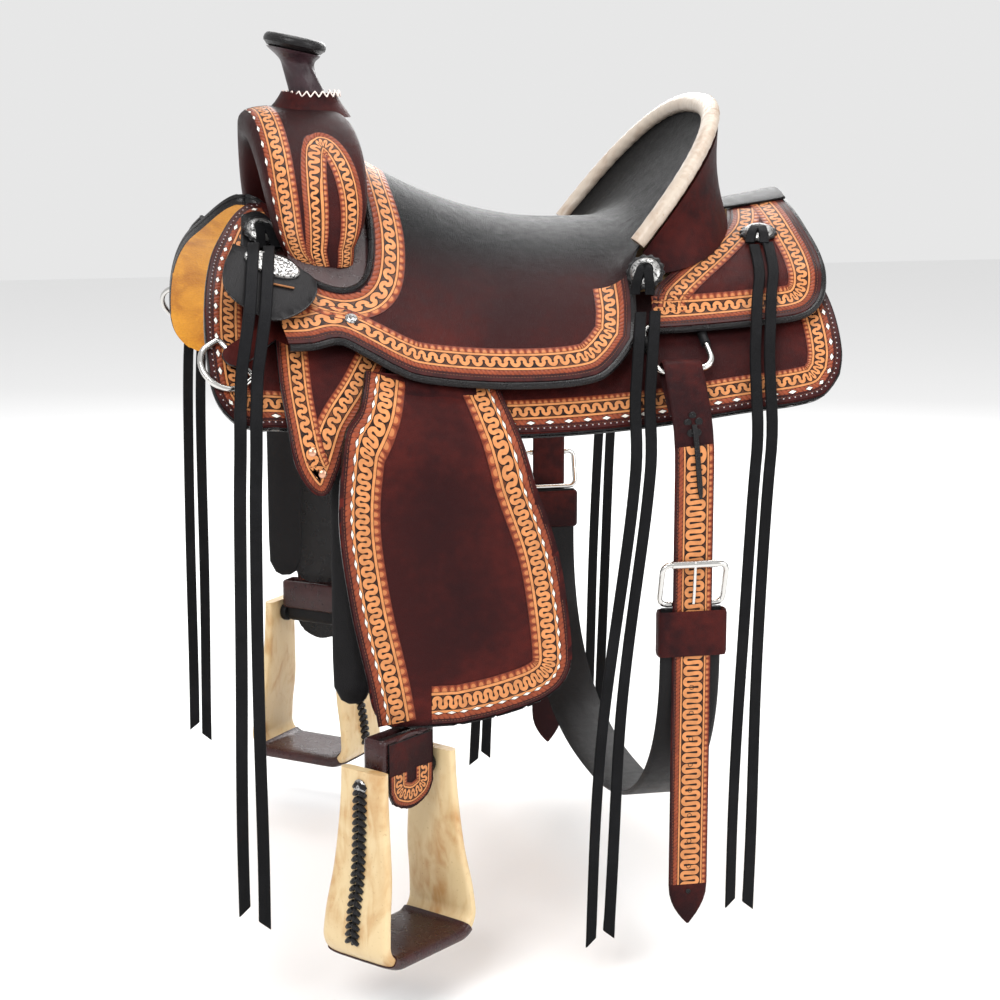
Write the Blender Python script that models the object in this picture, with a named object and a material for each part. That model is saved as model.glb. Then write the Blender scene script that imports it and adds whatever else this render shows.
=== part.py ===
"""Western saddle, built piece by piece.

Frame: X runs rearwards, Y to the off side, Z up.  The origin lies on the rack or horse's
back line, under the middle of the seat.  The near side is -Y, the off side +Y.

Leather panels are laid on the "back": a round surface addressed by x and by the distance s
measured outwards from the spine line.  Layers stand off it by a distance d.
"""

import math

import bmesh
import bpy
from mathutils import Matrix, Vector

# ---------------------------------------------------------------- driving dimensions (metres)
BACK_RADIUS = 0.3564        # radius of the back under the bars
RIDGE_ANGLE = math.radians(3.0)
ROCK_FRONT = 0.42           # rise of the back line: z = ROCK * x^2
ROCK_REAR = 0.30
WITHER_LIFT = 0.030         # extra rise under the front leaf of each skirt
GRID = 0.04                 # spacing of the panels' facets, shared by every layer
FINE_X = (-0.30, -0.26, -0.22)      # more facet lines round the skirts' front leaf
FINE_S = (0.06, 0.10, 0.14)

LINING_THICK = 0.006
SKIRT_THICK = 0.005
RIG_THICK = 0.0035
BAR_THICK = 0.014
SEAT_THICK = 0.005
REAR_JOCKEY_THICK = 0.005
LAYER_GAP = 0.001           # clearance between stacked panels
BAR_INNER = 0.045           # s of the bars' edges
BAR_OUTER = 0.178
BAR_FRONT, BAR_REAR = -0.236, 0.285

SEAT_D = 0.031              # underside of the seat and its jockeys
REAR_JOCKEY_D = 0.0205      # underside of the rear jockeys' lower edge
REAR_JOCKEY_OVER_BAR = 0.0285
SEAT_LOW_X = 0.06           # where the rider sits lowest
SEAT_LOW_Z = 0.040
SEAT_FRONT_CURVE = 1.40     # how fast the seat climbs to the fork

CANTLE_X = 0.110            # x of the cantle's ends
CANTLE_END_Z = 0.016
CANTLE_DEPTH = 0.118        # ends to rearmost point of the rim, along x
CANTLE_RISE = 0.147         # ends to top of the rim
CANTLE_HALF = 0.172         # half the width across the ends
CANTLE_POWER = 2.5
CANTLE_DISH = 0.012
BINDING_RADIUS = 0.0085

FORK_BANDS = 13             # sections from one foot of the fork to the other
FORK_COVER_THICK = 0.004
HORN_BASE = Vector((-0.2115, 0.0, 0.1662))
HORN_TOP = Vector((-0.230, 0.0, 0.2235))
HORN_NECK = ((0.0, 0.027), (0.07, 0.026), (0.16, 0.0222), (0.32, 0.0195), (0.75, 0.0190),
             (0.92, 0.0208), (1.0, 0.0225))     # share of the height, radius
HORN_CAP_RADIUS = 0.034
HORN_CAP_THICK = 0.014
HORN_CAP_TILT = math.radians(12.0)

DEE_WIRE = 0.0032
FENDER_TOP = 0.330          # s of the fender's hinge line, just under the jockey
FENDER_BOTTOM = 0.627
FENDER_D = 0.0225
LEATHER_D = 0.021
FENDER_THICK = 0.005
LEATHER_X = -0.120          # centre of the stirrup leather at the bar
LEATHER_HALF = 0.036
LEATHER_THICK = 0.004

STIRRUP_X, STIRRUP_Y = -0.175, 0.330
STIRRUP_TURN = math.radians(-40.0)
STIRRUP_TOP = -0.4785
STIRRUP_HEIGHT = 0.203
STIRRUP_TOP_HALF = 0.053    # centre line, at the bolt
STIRRUP_LOW_HALF = 0.0680   # centre line, at the tread
STIRRUP_THICK = 0.013
STIRRUP_TOP_DEPTH = 0.058
STIRRUP_LOW_DEPTH = 0.088
BOLT_DROP = 0.016           # bolt below the top of the arms
BOLT_RADIUS = 0.005
BOLT_CLEARANCE = 0.0005
TREAD_THICK = 0.004
LOOP_WIDTH = 0.074
LOOP_THICK = 0.005
HOBBLE_HEIGHT = 0.034
HOBBLE_THICK = 0.004

BILLET_X = 0.134
BILLET_WIDTH = 0.042
BILLET_THICK = 0.003
BILLET_TIP_Z = -0.684
REAR_DEE_S = (0.222, 0.287)
REAR_DEE_HALF = 0.031
REAR_DEE_STAND = 0.027      # d of the rear dee's lower bar
BILLET_LOOP = 0.0092        # centre line radius of the billet round that bar
BUCKLE_Z = -0.314
BUCKLE_HALF = 0.034
BUCKLE_WIRE = 0.0028
CINCH_WIDTH = 0.065
CINCH_THICK = 0.006
CINCH_BOTTOM = -0.612
KEEPER_HEIGHT = 0.034
KEEPER_THICK = 0.004
FIT = 0.0005                # gap between a strap and what wraps it

LACE_WIDTH = 0.0125
LACE_GAP = 0.003
LACE_THICK = 0.003
LATIGO_WIDTH = 0.042
LATIGO_THICK = 0.004

SIDES = {"near": -1, "off": 1}

# ---------------------------------------------------------------- colours: rgb, roughness, metallic
FINISHES = {
    "burgundy_leather": ((0.075, 0.018, 0.017), 0.42, 0.0),
    "black_leather": ((0.012, 0.012, 0.014), 0.48, 0.0),
    "tooled_leather": ((0.42, 0.15, 0.055), 0.50, 0.0),
    "suede_lining": ((0.72, 0.40, 0.08), 0.90, 0.0),
    "rawhide": ((0.78, 0.70, 0.60), 0.55, 0.0),
    "amber_rawhide": ((0.62, 0.42, 0.22), 0.45, 0.0),
    "nickel": ((0.72, 0.71, 0.69), 0.22, 1.0),
    "tree_wood": ((0.50, 0.36, 0.22), 0.65, 0.0),
}


def material(finish):
    """The Principled material of a named finish."""
    made = bpy.data.materials.get(finish)
    if made:
        return made
    colour, roughness, metallic = FINISHES[finish]
    made = bpy.data.materials.new(finish)
    made.use_nodes = True
    shader = made.node_tree.nodes["Principled BSDF"]
    shader.inputs["Base Color"].default_value = (*colour, 1.0)
    shader.inputs["Roughness"].default_value = roughness
    shader.inputs["Metallic"].default_value = metallic
    return made


def keep(name, bm, finish, origin=(0.0, 0.0, 0.0)):
    """Turn a finished bmesh into a named object whose origin is at `origin`."""
    bmesh.ops.recalc_face_normals(bm, faces=bm.faces)
    if bm.calc_volume(signed=True) < 0:
        bmesh.ops.reverse_faces(bm, faces=bm.faces)
    bmesh.ops.translate(bm, vec=-Vector(origin), verts=bm.verts)
    mesh = bpy.data.meshes.new(name)
    bm.to_mesh(mesh)
    bm.free()
    if mesh.polygons:
        mesh.shade_smooth()
        mesh.set_sharp_from_angle(angle=math.radians(35))
    mesh.materials.append(material(finish))
    made = bpy.data.objects.new(name, mesh)
    made.location = origin
    bpy.context.scene.collection.objects.link(made)
    return made


# ---------------------------------------------------------------- the back and its layers
def smoothstep(edge0, edge1, value):
    """0 at edge0, 1 at edge1, eased between."""
    t = min(1.0, max(0.0, (value - edge0) / (edge1 - edge0)))
    return t * t * (3.0 - 2.0 * t)


def back_rise(x, s):
    """Height of the back line at x, with the lift that the fork gives the skirts' front leaf."""
    rock = (ROCK_FRONT if x < 0 else ROCK_REAR) * x * x
    leaf = math.exp(-(((x + 0.28) / 0.042) ** 2)) * smoothstep(0.15, 0.06, abs(s))
    return rock + WITHER_LIFT * leaf


def on_back(x, s, d, lift=0.0, edge=None, bend=0.06):
    """The point at x and at distance s from the spine line, standing d off the back.

    The sign of s picks the side.  Past s = edge the surface rolls over with radius `bend`
    and then hangs straight down, and the back line's rise fades out.
    """
    side = -1.0 if s < 0 else 1.0
    run = abs(s)
    on = run if edge is None else min(run, edge)
    angle = RIDGE_ANGLE + on / BACK_RADIUS
    y = BACK_RADIUS * (math.sin(angle) - math.sin(RIDGE_ANGLE))
    z = BACK_RADIUS * (math.cos(angle) - math.cos(RIDGE_ANGLE))
    rise = back_rise(x, s)
    if edge is not None and run > edge:
        past = run - edge
        turn = min(past / bend, math.pi / 2 - angle)
        y += bend * (math.sin(angle + turn) - math.sin(angle))
        z += bend * (math.cos(angle + turn) - math.cos(angle)) - (past - bend * turn)
        angle += turn
        rise *= 1.0 - smoothstep(0.0, 0.25, past)
    return Vector((x, side * (y + d * math.sin(angle)), z + d * math.cos(angle) + rise + lift))


def rear_jockey_d(x, s):
    """Underside of the rear jockey: low at its edge, over the bars further in."""
    return REAR_JOCKEY_D + (REAR_JOCKEY_OVER_BAR - REAR_JOCKEY_D) * smoothstep(0.222, 0.188, abs(s))


def seat_lift(x, s):
    """How far the seat stands above the layer that its jockeys lie on."""
    if x < SEAT_LOW_X:
        middle = SEAT_LOW_Z + SEAT_FRONT_CURVE * (x - SEAT_LOW_X) ** 2
    else:
        middle = SEAT_LOW_Z
    top = SEAT_D + SEAT_THICK
    crown = max(0.0, middle - on_back(x, 0.0, top).z)
    lift = crown * 0.5 * (1.0 + math.cos(math.pi * min(1.0, abs(s) / 0.22)))
    spot = on_back(x, s, top, lift)
    inside = max(0.0, 1.0 - rim_measure(x, spot.y))
    dish = CANTLE_END_Z + CANTLE_RISE / CANTLE_DEPTH * (x - CANTLE_X) - CANTLE_DISH * min(1.0, 2.0 * inside)
    over = dish - spot.z
    climb = 0.5 * (over + math.sqrt(over * over + 0.02 ** 2)) - 0.002
    return lift + max(0.0, climb) * smoothstep(0.235, 0.165, abs(s)) * smoothstep(0.03, 0.12, x)


def rim_measure(x, y):
    """1 on the cantle's rim seen from above, less inside it."""
    along = max(0.0, x - CANTLE_X) / CANTLE_DEPTH
    return along ** CANTLE_POWER + (abs(y) / CANTLE_HALF) ** CANTLE_POWER


def rim_point(angle, grow=1.0):
    """A point of the rim; angle runs from -90 degrees (near end) to 90 (off end)."""
    share = 2.0 / CANTLE_POWER
    out = math.copysign(abs(math.sin(angle)) ** share, angle)
    back = abs(math.cos(angle)) ** share
    return Vector((
        CANTLE_X + CANTLE_DEPTH * back * grow,
        CANTLE_HALF * out * grow,
        CANTLE_END_Z + CANTLE_RISE * back,
    ))


# ---------------------------------------------------------------- shape builders
def curve(points, steps=4):
    """A smooth run through the points (Catmull-Rom), as a list of tuples."""
    if len(points) < 3:
        return list(points)
    ends = [points[0], *points, points[-1]]
    run = []
    for p0, p1, p2, p3 in zip(ends, ends[1:], ends[2:], ends[3:]):
        for k in range(steps):
            t = k / steps
            run.append(tuple(
                0.5 * (2 * b + (c - a) * t + (2 * a - 5 * b + 4 * c - d) * t * t
                       + (3 * b - a - 3 * c + d) * t ** 3)
                for a, b, c, d in zip(p0, p1, p2, p3)
            ))
    run.append(tuple(points[-1]))
    return run


def outline(*runs, steps=3):
    """A closed outline from smooth runs that meet at corners."""
    points = []
    for run in runs:
        for point in curve(run, steps):
            if not points or math.dist(point, points[-1]) > 1e-6:
                points.append(point)
    if math.dist(points[0], points[-1]) < 1e-6:
        points.pop()
    return points


def panel(name, shape, finish, place, side=1, origin=(0.0, 0.0, 0.0)):
    """A sheet cut to `shape`, laid by place(x, s, h), where h is 0 below and 1 on top."""
    bm = bmesh.new()
    bm.faces.new([bm.verts.new((x, side * s, 0.0)) for x, s in shape])
    for axis in (0, 1):
        low = min(v.co[axis] for v in bm.verts)
        high = max(v.co[axis] for v in bm.verts)
        normal = (1, 0, 0) if axis == 0 else (0, 1, 0)
        lines = [k * GRID for k in range(math.floor(low / GRID), math.ceil(high / GRID) + 1)]
        lines += FINE_X if axis == 0 else [side * fine for fine in FINE_S for side in (-1, 1)]
        for line in sorted(lines):
            if low + 0.002 < line < high - 0.002:
                bmesh.ops.bisect_plane(
                    bm, geom=[*bm.verts, *bm.edges, *bm.faces],
                    plane_co=Vector(normal) * line, plane_no=normal, dist=1e-6)
    top = bmesh.ops.extrude_face_region(bm, geom=list(bm.faces))["geom"]
    bmesh.ops.translate(bm, vec=(0, 0, 1), verts=[g for g in top if isinstance(g, bmesh.types.BMVert)])
    for v in bm.verts:
        v.co = place(v.co.x, v.co.y, v.co.z)
    return keep(name, bm, finish, origin)


def sheet(low, thick, lift=None, edge=None):
    """place() for a sheet of one thickness whose underside stands `low` off the back."""
    def place(x, s, h):
        base = low(x, s) if callable(low) else low
        return on_back(x, s, base + h * thick, lift(x, s) if lift else 0.0, edge)
    return place


def strap(name, path, widths, thick, axis, finish, closed=False, origin=(0.0, 0.0, 0.0)):
    """A flat strap along `path`, whose width runs along `axis`; widths is one value or a list."""
    axis = Vector(axis).normalized()
    count = len(path)
    widths = widths if isinstance(widths, list) else [widths] * count
    bm = bmesh.new()
    rings = []
    for k, (point, width) in enumerate(zip(path, widths)):
        before = path[k - 1] if k or closed else path[k]
        after = path[(k + 1) % count] if k + 1 < count or closed else path[k]
        normal = (Vector(after) - Vector(before)).cross(axis).normalized()
        rings.append([
            bm.verts.new(Vector(point) + normal * thick * n / 2 + axis * width * w / 2)
            for n, w in ((1, 1), (1, -1), (-1, -1), (-1, 1))
        ])
    pairs = list(zip(rings, rings[1:])) + ([(rings[-1], rings[0])] if closed else [])
    for a, b in pairs:
        for k in range(4):
            bm.faces.new((a[k], a[(k + 1) % 4], b[(k + 1) % 4], b[k]))
    if not closed:
        bm.faces.new(rings[0])
        bm.faces.new(rings[-1])
    return keep(name, bm, finish, origin)


def wire(name, path, radius, finish, sides=8, origin=(0.0, 0.0, 0.0)):
    """A closed ring of round wire through the points of `path`."""
    bm = bmesh.new()
    rings = []
    count = len(path)
    middle = sum((Vector(p) for p in path), Vector()) / count
    face = Vector()
    for k in range(count):
        face += (Vector(path[k]) - middle).cross(Vector(path[(k + 1) % count]) - middle)
    face.normalize()
    for k in range(count):
        along = (Vector(path[(k + 1) % count]) - Vector(path[k - 1])).normalized()
        out = along.cross(face).normalized()
        up = out.cross(along)
        rings.append([
            bm.verts.new(Vector(path[k]) + radius * (out * math.cos(a) + up * math.sin(a)))
            for a in (2 * math.pi * n / sides for n in range(sides))
        ])
    for a, b in zip(rings, rings[1:] + rings[:1]):
        for k in range(sides):
            bm.faces.new((a[k], a[(k + 1) % sides], b[(k + 1) % sides], b[k]))
    return keep(name, bm, finish, origin)


def rod(name, path, radius, finish, sides=10):
    """A round roll along an open path that lies in one plane, with closed ends."""
    bm = bmesh.new()
    face = (Vector(path[0]) - Vector(path[len(path) // 2])).cross(
        Vector(path[-1]) - Vector(path[len(path) // 2])).normalized()
    rings = []
    for k, point in enumerate(path):
        before, after = path[max(0, k - 1)], path[min(len(path) - 1, k + 1)]
        along = (Vector(after) - Vector(before)).normalized()
        out = along.cross(face).normalized()
        rings.append([
            bm.verts.new(Vector(point) + radius * (out * math.cos(a) + face * math.sin(a)))
            for a in (2 * math.pi * n / sides for n in range(sides))
        ])
    for a, b in zip(rings, rings[1:]):
        for k in range(sides):
            bm.faces.new((a[k], a[(k + 1) % sides], b[(k + 1) % sides], b[k]))
    bm.faces.new(rings[0])
    bm.faces.new(rings[-1])
    return keep(name, bm, finish)


def turned(name, profile, centre, axis, finish, segments=24):
    """A turned piece: profile of (radius, height) from the bottom pole to the top pole."""
    bm = bmesh.new()
    line = [bm.verts.new((r, 0.0, h)) for r, h in profile]
    edges = [bm.edges.new(pair) for pair in zip(line, line[1:])]
    bmesh.ops.spin(bm, geom=[*line, *edges], cent=(0, 0, 0), axis=(0, 0, 1),
                   angle=2 * math.pi, steps=segments, use_merge=True)
    bmesh.ops.remove_doubles(bm, verts=bm.verts, dist=1e-6)
    turn = Vector((0, 0, 1)).rotation_difference(Vector(axis).normalized()).to_matrix().to_4x4()
    bmesh.ops.transform(bm, matrix=Matrix.Translation(centre) @ turn, verts=bm.verts)
    return keep(name, bm, finish)


def pierced(piece, centre, axis, radius, length):
    """Cut a round hole through a piece with a hidden cutter."""
    bm = bmesh.new()
    bmesh.ops.create_cone(bm, cap_ends=True, segments=16, radius1=radius, radius2=radius, depth=length)
    turn = Vector((0, 0, 1)).rotation_difference(Vector(axis).normalized()).to_matrix().to_4x4()
    bmesh.ops.transform(bm, matrix=Matrix.Translation(centre) @ turn, verts=bm.verts)
    cutter = keep(piece.name + "_cutter", bm, "nickel")
    cutter.hide_render = True
    cutter.display_type = "WIRE"
    cut = piece.modifiers.new("hole", "BOOLEAN")
    cut.operation = "DIFFERENCE"
    cut.object = cutter


# ---------------------------------------------------------------- outlines on the back: (x, s)
def skirt_outline(inset=0.0):
    """Skirt, with its raised round leaf in front; inset trims the lining's hem."""
    front = [(-0.250, 0.094), (-0.263, 0.074), (-0.280, 0.066), (-0.298, 0.074), (-0.314, 0.092),
             (-0.329, 0.125), (-0.340, 0.163), (-0.350, 0.220), (-0.354, 0.280), (-0.350, 0.335),
             (-0.331, 0.360), (-0.305, 0.362)]
    lower = [(-0.305, 0.362), (-0.277, 0.356), (-0.165, 0.343), (-0.041, 0.339), (0.096, 0.335),
             (0.193, 0.332), (0.258, 0.334), (0.287, 0.330), (0.306, 0.312)]
    rear = [(0.306, 0.312), (0.314, 0.286), (0.317, 0.240), (0.314, 0.190), (0.304, 0.120), (0.292, 0.050)]
    top = [(0.292, 0.050), (-0.236, 0.050), (-0.250, 0.094)]
    middle = (-0.02, 0.20)
    return [
        (x - math.copysign(min(inset, abs(x - middle[0])), x - middle[0]),
         s - math.copysign(min(inset, abs(s - middle[1])), s - middle[1]))
        for x, s in outline(front, lower, rear, top)
    ]


def rig_outline():
    """Rigging leather, with the tongue that holds the front dee."""
    return outline(
        [(-0.172, 0.188), (-0.276, 0.188)],
        [(-0.276, 0.188), (-0.284, 0.240), (-0.338, 0.2936), (-0.3236, 0.3078), (-0.284, 0.268)],
        [(-0.284, 0.268), (-0.284, 0.320), (-0.278, 0.369), (-0.268, 0.394), (-0.254, 0.408),
         (-0.241, 0.406), (-0.231, 0.385), (-0.215, 0.350), (-0.190, 0.310), (-0.165, 0.262),
         (-0.160, 0.225), (-0.172, 0.188)],
        steps=2)


def seat_outline():
    """Seat with both jockeys, notched round the fork and cut back along the cantle's rim."""
    notch = [(-0.162, 0.0), (-0.163, 0.050), (-0.160, 0.120), (-0.172, 0.180), (-0.190, 0.208),
             (-0.210, 0.217), (-0.232, 0.212), (-0.252, 0.196), (-0.266, 0.186)]
    front = [(-0.266, 0.186), (-0.268, 0.230), (-0.272, 0.281)]
    lower = [(-0.272, 0.281), (-0.246, 0.274), (-0.219, 0.263), (-0.195, 0.272), (-0.162, 0.288),
             (-0.132, 0.295), (-0.039, 0.297), (0.034, 0.293), (0.063, 0.278), (0.087, 0.251)]
    rear = [(0.087, 0.251), (0.095, 0.220), (0.099, 0.186)]
    half = outline(notch, front, lower, rear)
    rim = []
    for k in range(0, 10):
        angle = math.radians(86.0 * (1.0 - k / 9))
        spot = rim_point(angle, 0.92)
        rim.append((spot.x, seat_s_of(spot)))
    rim[-1] = (rim[-1][0], 0.0)
    half += rim
    mirrored = [(x, -s) for x, s in reversed(half) if s > 1e-6]
    return half + mirrored


def seat_s_of(spot):
    """The s whose seat surface passes over the given y."""
    low, high = 0.0, 0.26
    for _ in range(30):
        s = 0.5 * (low + high)
        if on_back(spot.x, s, SEAT_D + SEAT_THICK).y < abs(spot.y):
            low = s
        else:
            high = s
    return low


def rear_jockey_outline():
    """Rear jockey, from the seam on the spine to its rounded lower corners."""
    return outline(
        [(0.256, 0.003), (0.256, 0.045), (0.240, 0.088), (0.205, 0.126), (0.165, 0.160),
         (0.134, 0.188), (0.124, 0.212), (0.118, 0.234)],
        [(0.118, 0.234), (0.167, 0.237), (0.232, 0.241), (0.272, 0.243), (0.294, 0.234),
         (0.308, 0.212), (0.313, 0.174), (0.313, 0.120), (0.316, 0.050), (0.318, 0.003)])


def fender_outline():
    """Fender, from its hinge line to the neck over the hobble."""
    return outline(
        [(-0.207, FENDER_TOP), (-0.226, 0.363), (-0.232, 0.430), (-0.222, 0.505), (-0.206, 0.575),
         (-0.200, FENDER_BOTTOM)],
        [(-0.200, FENDER_BOTTOM), (-0.112, FENDER_BOTTOM)],
        [(-0.112, FENDER_BOTTOM), (-0.066, 0.619), (-0.020, 0.604), (0.003, 0.580), (0.005, 0.541),
         (-0.008, 0.454), (-0.033, 0.380), (-0.049, FENDER_TOP)])


# ---------------------------------------------------------------- tree
SKIRT_D = LINING_THICK + LAYER_GAP
RIG_D = SKIRT_D + SKIRT_THICK + LAYER_GAP
BAR_TOP = RIG_D + BAR_THICK
DEE_D = RIG_D + DEE_WIRE - 0.0002
DEE_COVER_D = DEE_D + DEE_WIRE + LAYER_GAP


def fork_curves(share):
    """Inner and outer edge of the fork in the y-z plane; share runs from 0 (top) to 1 (foot)."""
    outer = curve([(0.0, 0.165), (0.055, 0.158), (0.112, 0.128), (0.158, 0.084), (0.178, 0.044),
                   (0.182, 0.018), (0.180, 0.000)], 6)
    inner = curve([(0.0, 0.128), (0.040, 0.121), (0.078, 0.096), (0.104, 0.064), (0.120, 0.040),
                   (0.128, 0.029), (0.131, 0.023)], 6)
    at = share * (len(outer) - 1)
    k = min(int(at), len(outer) - 2)
    mix = at - k
    pick = [tuple(a + (b - a) * mix for a, b in zip(run[k], run[k + 1])) for run in (inner, outer)]
    return pick


def fork_rings(bm, inset):
    """Sections of the fork from the near foot to the off foot, shrunk by `inset`."""
    rings = []
    for k in range(-FORK_BANDS, FORK_BANDS + 1):
        share = abs(k) / FORK_BANDS
        side = -1.0 if k < 0 else 1.0
        inner, outer = fork_curves(share)
        front = -0.291 + 0.034 * share ** 1.3
        rear = -0.186 + 0.018 * math.sin(math.pi * min(1.0, share * 1.25)) - 0.004 * share
        low, high = Vector(inner), Vector(outer)
        middle, half = (low + high) / 2, (high - low) / 2
        reach = half.length - inset
        across = half.normalized()
        x_middle, x_half = (front + rear) / 2, (rear - front) / 2 - inset
        ring = []
        for n in range(12):
            a = 2 * math.pi * n / 12
            x = x_middle + x_half * math.copysign(abs(math.cos(a)) ** 0.6, math.cos(a))
            out = reach * math.copysign(abs(math.sin(a)) ** 0.6, math.sin(a))
            spot = middle + across * out
            ring.append(bm.verts.new((x, side * spot.x, spot.y)))
        rings.append(ring)
    return rings


def skin(bm, rings, flip=False):
    """Join neighbouring sections of equal count with faces."""
    for a, b in zip(rings, rings[1:]):
        count = len(a)
        for k in range(count):
            corner = (a[k], a[(k + 1) % count], b[(k + 1) % count], b[k])
            bm.faces.new(reversed(corner) if flip else corner)


def build_tree():
    """Bars, fork, cantle, ground seat and horn."""
    bar = [(BAR_FRONT, BAR_INNER + 0.012), (BAR_FRONT, BAR_OUTER), (-0.14, BAR_OUTER), (0.0, BAR_OUTER - 0.016),
           (0.20, BAR_OUTER - 0.012), (BAR_REAR, BAR_OUTER - 0.026), (BAR_REAR, BAR_INNER + 0.01),
           (0.20, BAR_INNER), (-0.2, BAR_INNER)]
    for word, side in SIDES.items():
        panel(f"tree_bar_{word}", bar, "tree_wood", sheet(RIG_D, BAR_THICK), side)

    bm = bmesh.new()
    rings = fork_rings(bm, FORK_COVER_THICK + 2 * FIT)
    skin(bm, rings)
    bm.faces.new(rings[0])
    bm.faces.new(rings[-1])
    keep("tree_fork", bm, "tree_wood")

    bm = bmesh.new()
    outside, inside = fork_rings(bm, 0.0), fork_rings(bm, FORK_COVER_THICK)
    skin(bm, outside)
    skin(bm, inside, flip=True)
    for a, b in ((outside[0], inside[0]), (inside[-1], outside[-1])):
        for k in range(len(a)):
            bm.faces.new((a[k], a[(k + 1) % len(a)], b[(k + 1) % len(a)], b[k]))
    keep("fork_cover", bm, "burgundy_leather")

    ends = [math.radians(76.0 * (k / 6 - 1.0)) for k in range(13)]
    rim = [rim_point(a, 0.88) for a in ends]
    wood = [(-0.150, -0.085), (0.060, -0.085)]
    wood += [(spot.x, math.copysign(seat_s_of(spot), spot.y)) for spot in rim]
    wood += [(0.060, 0.085), (-0.150, 0.085)]
    panel("ground_seat", wood, "tree_wood", under_seat)

    bm = bmesh.new()
    rings = []
    for share, radius in HORN_NECK:
        lean = HORN_CAP_TILT * share
        middle = HORN_BASE.lerp(HORN_TOP, share)
        rings.append([
            bm.verts.new(middle + radius * Vector(
                (math.cos(a) * math.cos(lean), math.sin(a), -math.cos(a) * math.sin(lean))))
            for a in (2 * math.pi * n / 20 for n in range(20))
        ])
    skin(bm, rings)
    bm.faces.new(rings[0])
    bm.faces.new(rings[-1])
    keep("horn_post", bm, "black_leather")
    tilt = Vector((math.sin(HORN_CAP_TILT), 0.0, math.cos(HORN_CAP_TILT)))
    rim = HORN_CAP_RADIUS
    cap = [(0.0, 0.0), (0.024, 0.0), (rim - 0.002, 0.004), (rim, 0.0075), (rim - 0.002, 0.0115),
           (rim - 0.007, HORN_CAP_THICK), (0.0, HORN_CAP_THICK)]
    turned("horn_cap", cap, HORN_TOP + FIT * tilt, tilt, "black_leather")


def under_seat(x, s, h):
    """Fills the space between the bars and the underside of the seat."""
    low = BAR_TOP + LAYER_GAP
    top = SEAT_D - LAYER_GAP
    return on_back(x, s, low + h * (top - low), h * 0.9 * seat_lift(x, s))


TAB_THICK = 0.003
TAB_SHAPE = outline(        # bell-shaped leaf under the front concho, over the jockey's front edge
    [(-0.268, 0.092), (-0.268, 0.172)],
    [(-0.268, 0.172), (-0.252, 0.190), (-0.239, 0.202), (-0.238, 0.218), (-0.247, 0.236), (-0.264, 0.252),
     (-0.285, 0.263), (-0.304, 0.260), (-0.325, 0.250), (-0.334, 0.235), (-0.330, 0.208),
     (-0.318, 0.175), (-0.306, 0.135), (-0.300, 0.092)],
    [(-0.300, 0.092), (-0.281, 0.086), (-0.268, 0.092)], steps=2)


def tab_climb(s):
    """0 where the tab lies on the skirt, 1 where it lies on the jockey."""
    return smoothstep(0.136, 0.182, abs(s))


def tab_d(x, s):
    """Underside of the tab."""
    low = SKIRT_D + SKIRT_THICK + LAYER_GAP
    return low + (SEAT_D + SEAT_THICK + 10 * LAYER_GAP - low) * tab_climb(s)


# ---------------------------------------------------------------- seat and panels
def build_panels():
    """Seat, jockeys, skirts, linings, rigging, cantle back and binding."""
    def seat_place(x, s, h):
        step = 0.01
        slope = (seat_lift(x + step, s) - seat_lift(x - step, s)) / (2 * step)
        thick = SEAT_THICK * (math.sqrt(1 + slope * slope) - 1)
        return on_back(x, s, SEAT_D + h * SEAT_THICK, seat_lift(x, s) + h * thick)

    def leaf_ease(x, s):
        return -0.0025 * smoothstep(-0.20, -0.24, x) * smoothstep(0.17, 0.12, abs(s))

    panel("seat", seat_outline(), "black_leather", seat_place)
    for word, side in SIDES.items():
        panel(f"skirt_lining_{word}", skirt_outline(0.003), "suede_lining",
              sheet(0.0, LINING_THICK, lift=leaf_ease), side)
        panel(f"skirt_{word}", skirt_outline(), "burgundy_leather", sheet(SKIRT_D, SKIRT_THICK), side)
        panel(f"rear_jockey_{word}", rear_jockey_outline(), "burgundy_leather",
              sheet(rear_jockey_d, REAR_JOCKEY_THICK), side)
        panel(f"rigging_leather_{word}", rig_outline(), "tooled_leather",
              sheet(lambda x, s: RIG_D + (DEE_COVER_D - RIG_D) * smoothstep(-0.262, -0.292, x),
                    RIG_THICK, edge=0.352), side)
        panel(f"rope_tab_{word}", TAB_SHAPE, "black_leather",
              sheet(tab_d, TAB_THICK), side)

    plate = outline([(0.252, -0.040), (0.250, 0.0), (0.252, 0.040)], [(0.252, 0.040), (0.318, 0.046)],
                    [(0.318, 0.046), (0.324, 0.0), (0.318, -0.046)], [(0.318, -0.046), (0.252, -0.040)])
    panel("jockey_bridge", plate, "black_leather", sheet(REAR_JOCKEY_OVER_BAR + REAR_JOCKEY_THICK + LAYER_GAP, 0.003))

    stations = [math.radians(80.0 * (k / 10 - 1.0)) for k in range(21)]
    bm = bmesh.new()
    rings = []
    for a in stations:
        head = rim_point(a, 1.0) + Vector((0.010, 0.0, -0.016))
        foot = rim_point(a, 1.0)
        foot.x += 0.016
        run = seat_s_of(foot)
        base = on_back(foot.x, math.copysign(run, foot.y or 1.0),
                       rear_jockey_d(foot.x, run) + REAR_JOCKEY_THICK + 0.002)
        foot.z = min(base.z, head.z - 0.006)
        out = Vector((math.cos(a), math.sin(a), 0.0)) * 0.0035
        rings.append([bm.verts.new(p) for p in (head, foot, foot + out, head + out)])
    skin(bm, rings)
    bm.faces.new(rings[0])
    bm.faces.new(rings[-1])
    keep("cantle_back", bm, "burgundy_leather")

    slope = Vector((-CANTLE_RISE, 0.0, CANTLE_DEPTH)).normalized()
    roll = [rim_point(math.radians(80.0 * (k / 14 - 1.0)), 1.02) + slope * 0.003 for k in range(29)]
    rod("cantle_binding", roll, BINDING_RADIUS, "rawhide")


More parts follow.
